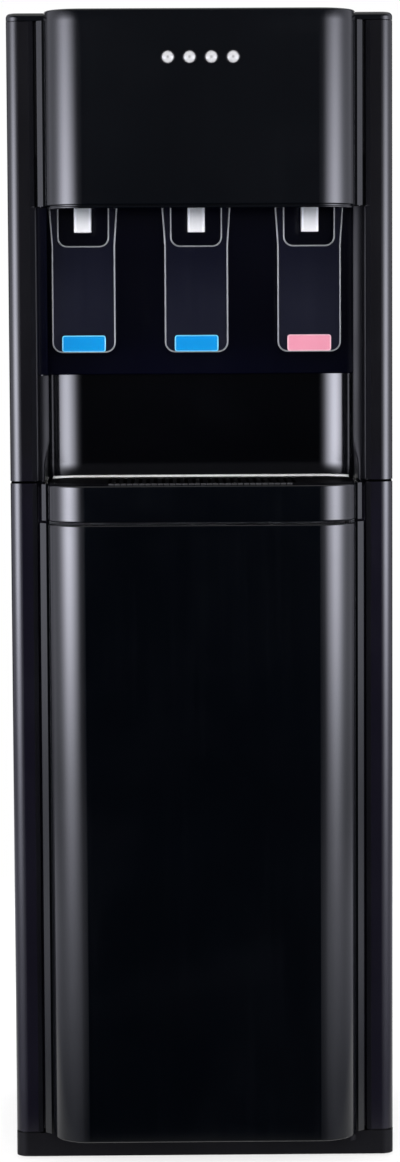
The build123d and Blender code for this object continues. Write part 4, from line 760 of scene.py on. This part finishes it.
# tag frames: the paler border of each coloured tag, its foot a drop below the tap's axis
tagFrame = {
    "half": 0.01935, "drop": 0.153, "height": 0.0139, "corner": 0.0019, "beadRadius": 0.0007, "stand": 0.0018,
    "tones": {"left": "Blue", "middle": "Blue", "right": "Pink"},
}
for tapName, tapX in taps["places"].items():
    half, low = tagFrame["half"], taps["axisHeight"] - tagFrame["drop"]
    high = low + tagFrame["height"]
    corners = ((tapX - half, low), (tapX + half, low), (tapX + half, high), (tapX - half, high))
    loop = roundedLoop(corners, (tagFrame["corner"],) * 4)
    shape = tubeLoop(loop, paddleFace - tagFrame["stand"] + tagFrame["beadRadius"], tagFrame["beadRadius"])
    tone = tagFrame["tones"][tapName]
    addPiece(f"tagFrame_{tapName}", shape, f"tag{tone}Rim", f"paddle_{tapName}_body")
print("tag frames made")


# side returns: the dark edge strip between each side panel and the front mouldings
sideReturn = {
    "from": (-0.1545, -0.14085),
    "parts": {
        "alcove": {"corner": (-0.15035, -0.1410), "radius": 0.0018, "heights": (0.6297, 0.8776)},
        "head": {"corner": (-0.15055, -0.1410), "radius": 0.0006, "heights": (0.8786, 1.0438)},
        "door": {"corner": (-0.15055, -0.1410), "radius": 0.0006, "heights": (0.0252, 0.6266)},
    },
    "depth": -0.1340,
    "thickness": 0.0006,
    "turnSteps": 8,
    "rows": 12,
}


def returnPlan(spec, part):
    # flat against the panel, a quarter turn, then straight back
    bend, angles = bendPath(part["corner"], ((0, 90, part["radius"]),), spec["turnSteps"])
    plan = np.concatenate([[spec["from"]], bend, [(bend[-1, 0], spec["depth"])]])
    return plan, np.concatenate([[0.0], angles, [math.pi / 2]])


for partName, part in sideReturn["parts"].items():
    plan, angles = returnPlan(sideReturn, part)
    rows = np.linspace(*part["heights"], sideReturn["rows"])
    back = plan - planNormals(angles) * sideReturn["thickness"]
    shape = shellSolid(standUp(plan, rows), standUp(back, rows))
    addPair(f"sideReturn_{partName}", shape, "edgeBlack")
print("side returns made")


# alcove lips: the rounded mouth of the alcove, narrowing to a thin lip at its foot
alcoveLip = {
    "start": (-0.14815, -0.1341),
    "bends": ((0, 37, 0.0146), (37, 87, 0.0008)),
    "wallEnd": (-0.1411, -0.0915),
    "small": {"x": -0.1462, "y": -0.1339, "radius": 0.0032},
    "outer": -0.14855,
    "foot": 0.6297,
    "blend": (0.640, 0.668),
    "rows": (3, 14, 8),
    "tops": {"left": 0.7252, "right": 0.8776},
    "thickness": 0.0008,
}


def smoothStep(share):
    # 3 s^2 - 2 s^3 between 0 and 1, and level past them
    share = np.clip(share, 0, 1)
    return share * share * (3 - 2 * share)


def lipSurface(spec, top):
    # the wide rounding above and the small one below, mixed by a smooth step of the height
    wide, angles = bendPath(spec["start"], spec["bends"])
    small = spec["small"]
    thinX = small["x"] + small["radius"] * np.sin(angles)
    thinY = small["y"] + small["radius"] * (1 - np.cos(angles))
    low, high = spec["blend"]
    stops = (spec["foot"], low, high, top)
    runs = [np.linspace(*ends) for ends in zip(stops[:-1], stops[1:], spec["rows"])]
    heights = np.concatenate([runs[0], runs[1][1:], runs[2][1:]])
    share = smoothStep((heights - low) / (high - low))[:, None, None]
    curved = np.stack([thinX, thinY], axis=1) * (1 - share) + wide * share
    first = np.broadcast_to((spec["outer"], spec["start"][1]), (len(heights), 1, 2))
    last = np.broadcast_to(spec["wallEnd"], (len(heights), 1, 2))
    plan = np.concatenate([first, curved, last], axis=1)
    normals = planNormals(np.concatenate([[0.0], angles, angles[-1:]]))
    return shellSolid(standUp(plan, heights), standUp(plan - normals * spec["thickness"], heights))


for sideName, top in alcoveLip["tops"].items():
    points, faces = lipSurface(alcoveLip, top)
    if sideName == "right":
        points = mirrored(points)
    addPiece(f"alcoveLip_{sideName}", (points, faces), "edgeBlack")
print("alcove lips made")


# panel wing: the flat wing of the tap panel that covers the alcove's mouth on the left
panelWing = {
    "across": (-0.1486, -0.1396), "heights": (0.7262, 0.8776), "front": -0.1342,
    "crown": 0.0002, "thickness": 0.0012, "columns": 9, "rows": 8,
}


def wingSurface(spec):
    # front - crown * (1 - u^2) over the width, u from -1 to 1
    left, right = spec["across"]
    across = np.linspace(left, right, spec["columns"])
    bow = spec["crown"] * (1 - ((across - across.mean()) / (right - left) * 2) ** 2)
    plan = np.stack([across, spec["front"] - bow], axis=1)
    rows = np.linspace(*spec["heights"], spec["rows"])
    return shellSolid(standUp(plan, rows), standUp(plan + np.array((0.0, spec["thickness"])), rows))


addPiece("panelWing", wingSurface(panelWing), "panelNavy")
print("panel wing made")


# alcove lining: the smooth inner wall, with wide rounded corners and a foot that curves forward
alcoveLining = {
    "flat": (-0.1076, -0.0613),
    "bends": ((0, 45, -0.038), (45, 92, -0.0209)),
    "mouth": -0.0995,
    "heights": (0.6307, 0.6432, 0.7252),
    "rows": (13, 8),
    "footReach": 0.0020,
    "sideShare": 0.45,
    "sideTurn": (30, 80),
    "thickness": 0.0006,
}


def liningPlan(spec):
    # left half from the mouth to the middle, then mirrored; the weight falls to its side share with the turn
    bend, angles = bendPath(spec["flat"], spec["bends"])
    run = (spec["mouth"] - bend[-1, 1]) / -math.sin(angles[-1])
    end = bend[-1] + run * np.array([-math.cos(angles[-1]), -math.sin(angles[-1])])
    left = np.concatenate([bend, [end]])[::-1]
    turned = np.concatenate([angles, angles[-1:]])[::-1]
    first, last = spec["sideTurn"]
    sideways = np.clip((np.degrees(turned) - first) / (last - first), 0, 1)
    weight = sideways * (spec["sideShare"] - 1) + 1
    return bothHalves(left), bothHalves(planNormals(turned)), np.concatenate([weight, weight[::-1]])


def liningSurface(spec, path, normals, weight):
    # path + normal * reach * weight * the square of how far below the bend
    low, bendTop, top = spec["heights"]
    footRows, wallRows = spec["rows"]
    rows = np.concatenate([np.linspace(low, bendTop, footRows), np.linspace(bendTop, top, wallRows)[1:]])
    forward = spec["footReach"] * (np.clip(bendTop - rows, 0, None) / (bendTop - low)) ** 2
    front = path[None] + normals[None] * (forward[:, None] * weight[None])[:, :, None]
    back = np.broadcast_to(path - normals * spec["thickness"], front.shape)
    return shellSolid(standUp(front, rows), standUp(back, rows))


liningPath, liningNormals, liningWeight = liningPlan(alcoveLining)
shape = liningSurface(alcoveLining, liningPath, liningNormals, liningWeight)
addPiece("alcoveLining", shape, "liningBlack")
print("alcove lining made")


# trim bead: the bright rounded bar along the foot of the lining, which stops in its corners at the turn
trimBead = {
    "heights": (0.6264, 0.6306), "depth": 0.0018, "radii": (0.0009, 0.0009, 0.0003, 0.0003),
    "cornerSteps": 5, "turn": 62.0,
}
footPath = liningPath + liningNormals * (alcoveLining["footReach"] * liningWeight)[:, None]
inRun = np.abs(np.degrees(np.arctan2(liningNormals[:, 0], -liningNormals[:, 1]))) < trimBead["turn"]
low, high = trimBead["heights"]
corners = ((0, low), (0, high), (-trimBead["depth"], high), (-trimBead["depth"], low))
section = roundedLoop(corners, trimBead["radii"], trimBead["cornerSteps"])
shape = sweep(footPath[inRun], liningNormals[inRun], section)
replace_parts(addPiece("trimBead", shape, "brightTrim"), "drip_trim")
print("trim bead made")


def frontPath(spec):
    # from the start, if there is one, round the left front corner as a quarter circle, then mirrored
    normals = cornerNormals(0, 90, spec["steps"])
    radius = spec["corner"]
    path = np.array((radius - spec["half"], spec["front"] + radius)) + radius * normals
    if "start" in spec:
        path = np.concatenate([[(-spec["half"], spec["start"])], path])
        normals = np.concatenate([normals[:1], normals])
    return bothHalves(path), bothHalves(normals)


# fascia lip: the small rounded edge under the fascia, its section as (outward, height)
fasciaLip = {
    "half": 0.1385, "front": -0.1816, "corner": 0.0325, "steps": 17,
    "section": (
        (-0.0016, 0.8784), (-0.0010, 0.8784), (-0.0010, 0.8777), (-0.0003, 0.8775),
        (0.0, 0.8768), (0.0, 0.8761), (-0.0003, 0.8755), (-0.0016, 0.8753),
    ),
}
addPiece("fasciaLip", sweep(*frontPath(fasciaLip), fasciaLip["section"]), "glossBlack")
print("fascia lip made")


# head crown: one smooth band over the fascia's top and the cover's front edge
headCrown = {
    "half": 0.140, "front": -0.18315, "corner": 0.034, "steps": 17, "start": -0.1406,
    "section": (
        (-0.0050, 1.0521), (-0.0014, 1.0521), (-0.0006, 1.0518), (-0.0001, 1.0511),
        (0.0002, 1.0500), (0.0002, 1.0420), (0.0002, 1.0330), (0.0002, 1.0300),
        (-0.0006, 1.0300), (-0.0006, 1.0480), (-0.0050, 1.0485),
    ),
}
addPiece("headCrown", sweep(*frontPath(headCrown), headCrown["section"]), "glossBlack")
print("head crown made")


# seam shade: a matte black strip set in the groove between the upper and lower side panels, painted shade for
# the shadow in that groove
seamShade = {
    "inner": -0.1512, "centre": (-0.164, -0.12965), "radius": 0.01015, "rear": 0.1700,
    "heights": (0.6270, 0.6297), "depth": 0.0012, "steps": 13,
}


def seamShadeShape(spec):
    # section carried from the inner end at the front, round the panel's corner, then straight to the rear
    normals = cornerNormals(90, 0, spec["steps"])
    corner = np.array(spec["centre"]) + spec["radius"] * normals
    path = np.concatenate([[(spec["inner"], corner[0, 1])], corner, [(corner[-1, 0], spec["rear"])]])
    normals = np.concatenate([normals[:1], normals, normals[-1:]])
    low, high = spec["heights"]
    return sweep(path, normals, ((0, low), (0, high), (-spec["depth"], high), (-spec["depth"], low)))


addPair("seamShade", seamShadeShape(seamShade), "paintedShadeBlack")
print("seam seals made")


# tray ribs: the row of small ribs along the tray's front edge, their grey a painted highlight for the light
# caught on their edges
trayRib = {
    "first": -0.082, "last": 0.079, "pitch": 0.00555, "length": 0.0046, "heights": (0.6269, 0.6288),
    "front": -0.1799, "depth": 0.0012, "round": 0.0002, "frontScale": 0.88,
    "corner": 0.0005, "cornerSteps": 3,
}


def ribRow(spec):
    # rounded outline times three depths, the front one drawn in, repeated along X
    low, high = spec["heights"]
    half = spec["length"] / 2
    corners = ((-half, low), (half, low), (half, high), (-half, high))
    outline = roundedLoop(corners, (spec["corner"],) * 4, spec["cornerSteps"])
    middle = np.array((0.0, (low + high) / 2))
    scale = np.array((1.0, 1.0, spec["frontScale"]))[:, None, None]
    depths = spec["front"] + np.array((spec["depth"], spec["round"], 0.0))
    rib = standUp(middle + (outline - middle) * scale, depths)[:, :, [0, 2, 1]].reshape(-1, 3)
    walls = gridFaces(len(depths), len(outline), False, True)
    ends = np.arange(len(outline)) + np.array([[0], [2 * len(outline)]])
    points, faces = [], []
    for index, x in enumerate(np.arange(spec["first"], spec["last"], spec["pitch"])):
        points.append(rib + np.array((x, 0.0, 0.0)))
        faces += (walls + index * len(rib)).tolist() + (ends + index * len(rib)).tolist()
    return np.concatenate(points), faces


addPiece("trayRibs", ribRow(trayRib), "paintedHighlightGrey", "tray")
print("tray ribs made")


# tap nozzles: square spouts with rounded corners and a round bore, each standing for its plain CAD tube
nozzle = {
    "half": 0.0079, "middleY": -0.1369, "foot": 0.8546, "top": 0.8830, "squareness": 7.0, "bore": 0.0050,
    "edge": 0.0006, "edgeTurns": (0.5, 1.0, 1.57), "flare": 0.0010, "flareSquareness": 2.6, "steps": 72,
}


def nozzleSurface(spec, x):
    # rings of |cos|^n + |sin|^n = 1, n large outside and 2 in the bore, closed from the top round to the top
    foot, top, edge, half, bore = (spec[key] for key in ("foot", "top", "edge", "half", "bore"))
    square, flare = spec["squareness"], spec["flare"]
    rings = [(half, top, square), (half, (foot + top) / 2, square), (half, foot + edge, square)]
    for turn in spec["edgeTurns"]:
        rings.append((half - edge * (1 - math.cos(turn)), foot + edge * (1 - math.sin(turn)), square))
    rings += [(bore + flare, foot, spec["flareSquareness"]), (bore, foot + flare, 2.0), (bore, top, 2.0)]
    angle = np.linspace(0, 2 * math.pi, spec["steps"], endpoint=False) + math.pi / spec["steps"]
    size, height, power = np.array(rings).T[:, :, None]
    far = size / (np.abs(np.cos(angle)) ** power + np.abs(np.sin(angle)) ** power) ** (1 / power)
    plan = np.stack([x + far * np.cos(angle), spec["middleY"] + far * np.sin(angle)], axis=2)
    return standUp(plan, height[:, 0]).reshape(-1, 3), gridFaces(len(rings), len(angle), True, True)


for tapName, tapX in taps["places"].items():
    piece = addPiece(f"nozzle_{tapName}", nozzleSurface(nozzle, tapX), "nozzlePaintedSheen")
    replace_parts(piece, f"tap_nozzle_{tapName}")
print("nozzles made")


# floor: pale, fading away at its rim into the white surround
floor = {
    "colour": (0.86, 0.86, 0.86), "middle": (0.0, 0.55), "fade": (0.60, 0.86), "roughness": 0.9,
    "specular": 0.1, "seenColour": (0.50, 0.50, 0.50), "seenGlow": 0.62,
}


def seenRays(tree):
    # 1 for what the camera, a mirror or glass looks at, and 0 for other light
    path = tree.nodes.new("ShaderNodeLightPath").outputs
    return chain(tree, "MAXIMUM", path["Is Camera Ray"], path["Is Glossy Ray"], path["Is Transmission Ray"])


def floorMaterial(spec):
    # what looks at the floor finds it nearly white, with the shadow kept, and other light its plain colour
    material, tree, shader = newMaterial("paleFloor")
    away = vectorMath(tree, "SUBTRACT", objectPlace(tree), (*spec["middle"], 0.0))["Vector"]
    seen = seenRays(tree)
    feedAll(tree, shader, {
        "Roughness": spec["roughness"],
        "Specular IOR Level": spec["specular"],
        "Alpha": rampNode(tree, vectorMath(tree, "LENGTH", away)["Value"], *spec["fade"], 1.0, 0.0),
        "Base Color": mixColour(tree, seen, spec["colour"], spec["seenColour"]),
        "Emission Color": (1.0, 1.0, 1.0, 1.0),
        "Emission Strength": product(tree, seen, spec["seenGlow"]),
    })
    return material


reach = floor["fade"][1]
floorX, floorY = floor["middle"]
floorPoints = [(floorX + x * reach, floorY + y * reach, 0.0) for x, y in ((-1, -1), (1, -1), (1, 1), (-1, 1))]
meshPiece("floor", floorPoints, [(0, 1, 2, 3)], floorMaterial(floor))


# studio curtain: a bent wall round the front, closed by a floor far below, which only glossy surfaces see;
# azimuths are in degrees from straight ahead, heights in metres, and a part fades between the two of a pair
curtain = {
    "radius": 4.3,
    "reach": 150.0,
    "steps": 33,
    "heights": (-1.5, 5.0),
    "tone": (0.895, 0.905, 1.035),
    "dims": (-1.0, 1.0),
    "rightShare": 0.8,
    "glow": {
        "level": 14.0, "azimuth": 51.0, "spread": 23.5, "height": 0.42, "above": 1.0, "below": 0.56,
        "opens": (5.0, 27.0),
    },
    "ahead": {"rise": (0.45, 1.15), "levels": (0.004, 0.09)},
    "ground": {
        "azimuths": (5.0, 26.0), "level": 0.95, "heights": (-0.15, -0.5),
        "low": (-1.1, -0.65), "lowShare": 0.08,
    },
    "aside": {
        "azimuths": (40.0, 92.0), "ends": (114.0, 132.0), "level": 0.9, "last": 0.045,
        "heights": (0.0, -0.7), "low": 0.15,
    },
}


def curtainGlow(tree, spec, azimuth, height):
    # level * exp(-(turn^2 + rise^2 + fall^2)), nothing straight ahead
    turn = mathNode(tree, "DIVIDE", mathNode(tree, "SUBTRACT", azimuth, spec["azimuth"]), spec["spread"])
    over = mathNode(tree, "SUBTRACT", height, spec["height"])
    rise = mathNode(tree, "DIVIDE", mathNode(tree, "MAXIMUM", over, 0.0), spec["above"])
    fall = mathNode(tree, "DIVIDE", mathNode(tree, "MINIMUM", over, 0.0), spec["below"])
    upDown = mathNode(tree, "ADD", product(tree, rise, rise), product(tree, fall, fall))
    total = mathNode(tree, "ADD", product(tree, turn, turn), upDown)
    patch = mathNode(tree, "POWER", math.e, product(tree, total, -1.0))
    return product(tree, patch, rampNode(tree, azimuth, *spec["opens"], 0.0, spec["level"]))


def curtainMaterial(spec):
    # what the glossy fronts mirror: dark ahead, a soft bright patch on either side, a pale floor below
    material, tree, shader = newMaterial("studioCurtain")
    place = splitAxes(tree, objectPlace(tree))
    height = place["Z"]
    sideways, forward = mathNode(tree, "ABSOLUTE", place["X"]), product(tree, place["Y"], -1.0)
    azimuth = product(tree, mathNode(tree, "ARCTAN2", sideways, forward), math.degrees(1.0))
    rightDim = rampNode(tree, place["X"], *spec["dims"], 1.0, spec["rightShare"])
    glow = product(tree, curtainGlow(tree, spec["glow"], azimuth, height), rightDim)
    ahead = rampNode(tree, height, *spec["ahead"]["rise"], *spec["ahead"]["levels"])
    ground, side = spec["ground"], spec["aside"]
    pale = product(
        tree,
        rampNode(tree, azimuth, *ground["azimuths"], 0.0, ground["level"]),
        rampNode(tree, height, *ground["heights"]),
        rampNode(tree, height, *ground["low"], ground["lowShare"], 1.0),
    )
    aside = product(
        tree,
        rampNode(tree, azimuth, *side["azimuths"], 0.0, side["level"]),
        rampNode(tree, azimuth, *side["ends"], 1.0, side["last"]),
        rampNode(tree, height, *side["heights"], 1.0, side["low"]),
    )
    feedAll(tree, shader, {
        "Base Color": (0.0, 0.0, 0.0, 1.0),
        "Specular IOR Level": 0.0,
        "Emission Color": (*spec["tone"], 1.0),
        "Emission Strength": chain(tree, "ADD", glow, ahead, mathNode(tree, "MAXIMUM", pale, aside)),
    })
    return material


def curtainShape(spec):
    # radius * (sin, -cos) at two heights, and a fan of faces to a point on the floor
    azimuths = np.radians(np.linspace(-spec["reach"], spec["reach"], spec["steps"]))
    ring = np.stack([np.sin(azimuths), -np.cos(azimuths)], axis=1) * spec["radius"]
    wall = standUp(ring, spec["heights"]).reshape(-1, 3)
    fan = [(index + 1, index, len(wall)) for index in range(spec["steps"] - 1)]
    points = np.concatenate([wall, [(0.0, 0.0, spec["heights"][0])]])
    return points, gridFaces(2, spec["steps"], False, False).tolist() + fan


curtainWall = meshPiece("studioCurtain", *curtainShape(curtain), curtainMaterial(curtain))
curtainWall.visible_diffuse = False
curtainWall.visible_camera = False
curtainWall.visible_shadow = False

# world: white to the camera, mirrors and glass, and a dim grey light on the object
worldGrey = 0.22
world = bpy.data.worlds.new("studioWorld")
scene.world = world
world.use_nodes = True
background = world.node_tree.nodes["Background"]
strength = rampNode(world.node_tree, seenRays(world.node_tree), 0.0, 1.0, worldGrey, 1.0)
feedAll(world.node_tree, background, {"Color": (1.0, 1.0, 1.0, 1.0), "Strength": strength})

# soft boxes: place, aim, width and height in metres, and watts
lamps = {
    "leftSoftbox": ((-1.45, -0.88, 0.68), (0.0, -0.1, 0.62), (1.25, 0.9), 16.0),
    "rightSoftbox": ((1.45, -0.88, 0.68), (0.0, -0.1, 0.62), (1.25, 0.9), 16.0),
    "frontSoftbox": ((0.0, -2.8, 1.2), (0.0, -0.1, 0.62), (1.2, 1.2), 28.0),
    "topSoftbox": ((0.0, 0.3, 2.6), (0.0, 0.1, 1.0), (1.6, 1.6), 38.0),
    "rearSoftbox": ((0.0, 2.8, 1.6), (0.0, 0.1, 0.6), (1.8, 1.8), 30.0),
}


def makeLamp(name, place, aim, size, watts):
    # back is place - aim, side is upright x back, up is back x side; neither camera nor mirror sees it
    data = bpy.data.lights.new(name, "AREA")
    data.shape = "RECTANGLE"
    data.size, data.size_y = size
    data.energy = watts
    back = np.array(place) - np.array(aim)
    back /= np.linalg.norm(back)
    side = np.cross((0, 0, 1), back)
    side /= np.linalg.norm(side)
    lamp = bpy.data.objects.new(name, data)
    standAt(lamp, side, np.cross(back, side), back, place)
    lamp.visible_camera = False
    lamp.visible_glossy = False


for lampName, lampSpec in lamps.items():
    makeLamp(lampName, *lampSpec)
print("studio lit")
